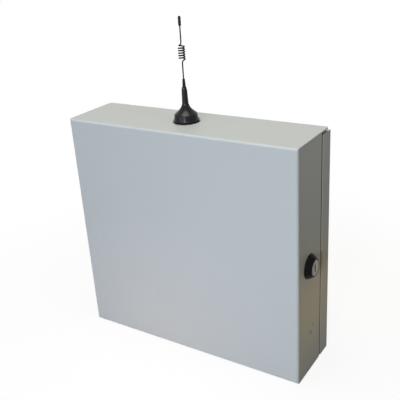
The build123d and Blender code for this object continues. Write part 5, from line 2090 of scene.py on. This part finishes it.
    def antenna_jack(self) -> None:
        """The coaxial jack: a square body, a threaded barrel and the liner in it."""
        x, y, z = self.jack
        body = Bench.box("coax_jack", (-0.0040, -0.0040, 0.0), (0.0040, 0.0040, 0.0070))
        Bench.soften(body, 0.0004, 2)
        thread = Fastener.thread(0.0031, 0.0003, 0.0008, 0.0080, 0.0155)
        shoulder = ((0.0068, 0.0036), (0.0076, 0.0036), (0.0076, 0.0028))
        mouth = ((0.0160, 0.0026), (0.0160, 0.0021))
        barrel = Bench.lathe("barrel", [*shoulder, *thread, *mouth], sides=40)
        Bench.cut(barrel, Bench.rod("bore", 0.0021, 0.0100, 0.0200))
        Bench.smooth(50.0)
        Bench.join([body, barrel])
        Bench.put(body, Matrix.Translation((x, y, z)))
        Bench.fit(body, Body.CASE, GOLD, "jack_brass", ["antenna_jack"])
        liner = Bench.rod("jack_liner", 0.00205, 0.0098, 0.0152, (x, y, z))
        Bench.cut(liner, Bench.rod("bore", 0.0006, 0.0120, 0.0200, (x, y, z), sides=20))
        Bench.soften(liner, 0.0001, 2)
        Bench.fit(liner, Body.CASE, DEVICE, "device_grey")

    def small_parts(self) -> None:
        """Chip resistors and capacitors under the drivers, and the processor's crystal."""
        chip = Bench.box("small_chips", (-0.0010, -0.0006, -0.00062), (0.0010, 0.0, 0.00062))
        Bench.soften(chip, 0.00006, 1)
        ends = Bench.box("chip_ends", (-0.00104, -0.00064, -0.00066), (0.00104, 0.0, 0.00066))
        Bench.cut(ends, Bench.box("middle", (-0.0006, -0.01, -0.01), (0.0006, 0.01, 0.01)))
        row, column = self.chip_z - 0.0079, self.chip_z - 0.006
        places = [(x + side, self.face, row) for x in self.drivers for side in mm(-3.4, 0.0, 3.4)]
        heights = [column + n * self.small_chip_pitch for n in range(self.small_chips)]
        places += [(-0.0340, self.face, z) for z in heights]
        Bench.fit(Bench.copies(chip, places), Body.CASE, CHIP, "chip_black")
        Bench.fit(Bench.copies(ends, places), Body.CASE, SOLDER, "zinc_steel")
        crystal = Bench.box("crystal_can", (-0.0056, -0.0035, -0.0023), (0.0056, 0.0, 0.0023))
        Bench.pick_side(crystal, Axis.TO_FRONT)
        bpy.ops.mesh.inset(thickness=0.0005, depth=0.00012)
        Bench.soften(crystal, 0.0007)
        Bench.put(crystal, Matrix.Translation((-0.0180, self.face, self.chip_z + 0.0135)))
        Bench.fit(crystal, Body.CASE, CELL, "cell_steel")

    def markings(self) -> None:
        """Blank printed frames round the parts, and a dot at each chip's first leg."""
        skin, line = 0.00004, 0.00025
        frames = []
        for x in self.drivers:
            frames.append((x - 0.0056, x + 0.0056, self.chip_z - 0.0060, self.chip_z + 0.0060))
        side = self.processor[1] + 0.0022
        x = self.processor[0]
        frames.append((x - side, x + side, self.chip_z - side, self.chip_z + side))
        left, right, low, high = self.radio
        frames.append((left - 0.0008, right + 0.0008, low - 0.0008, high + 0.0008))
        rims = []
        for left, right, low, high in frames:
            corners = (left, self.face - skin, low), (right, self.face, high)
            rims.append(Bench.rim("board_markings", *corners, line))
        dots = [(x - 0.0064, self.face, self.chip_z - 0.0052) for x in self.drivers]
        disc = ((0.0, 0.0005), (skin, 0.0005), (skin, 0.0002))
        dot = Bench.lathe("dot", disc, ORIGIN, Axis.TO_FRONT, 16)
        printed = Bench.join([*rims, Bench.copies(dot, dots)])
        Bench.fit(printed, Body.CASE, MARKING, "device_grey")


def main() -> None:
    """Builds the studio and the object's sub-assemblies in order."""
    logging.basicConfig(level=logging.INFO, format="%(name)s: %(message)s")
    assemblies = (
        Studio(), SheetCase(), WhipAntenna(), DoorLock(), Hinges(), RailRow(), PowerSupply(), EarthPoint(),
        ControlBoard(),
    )
    for assembly in assemblies:
        assembly.build()
        LOG.info("%s done", type(assembly).__name__)


if __name__ == "__main__":
    main()
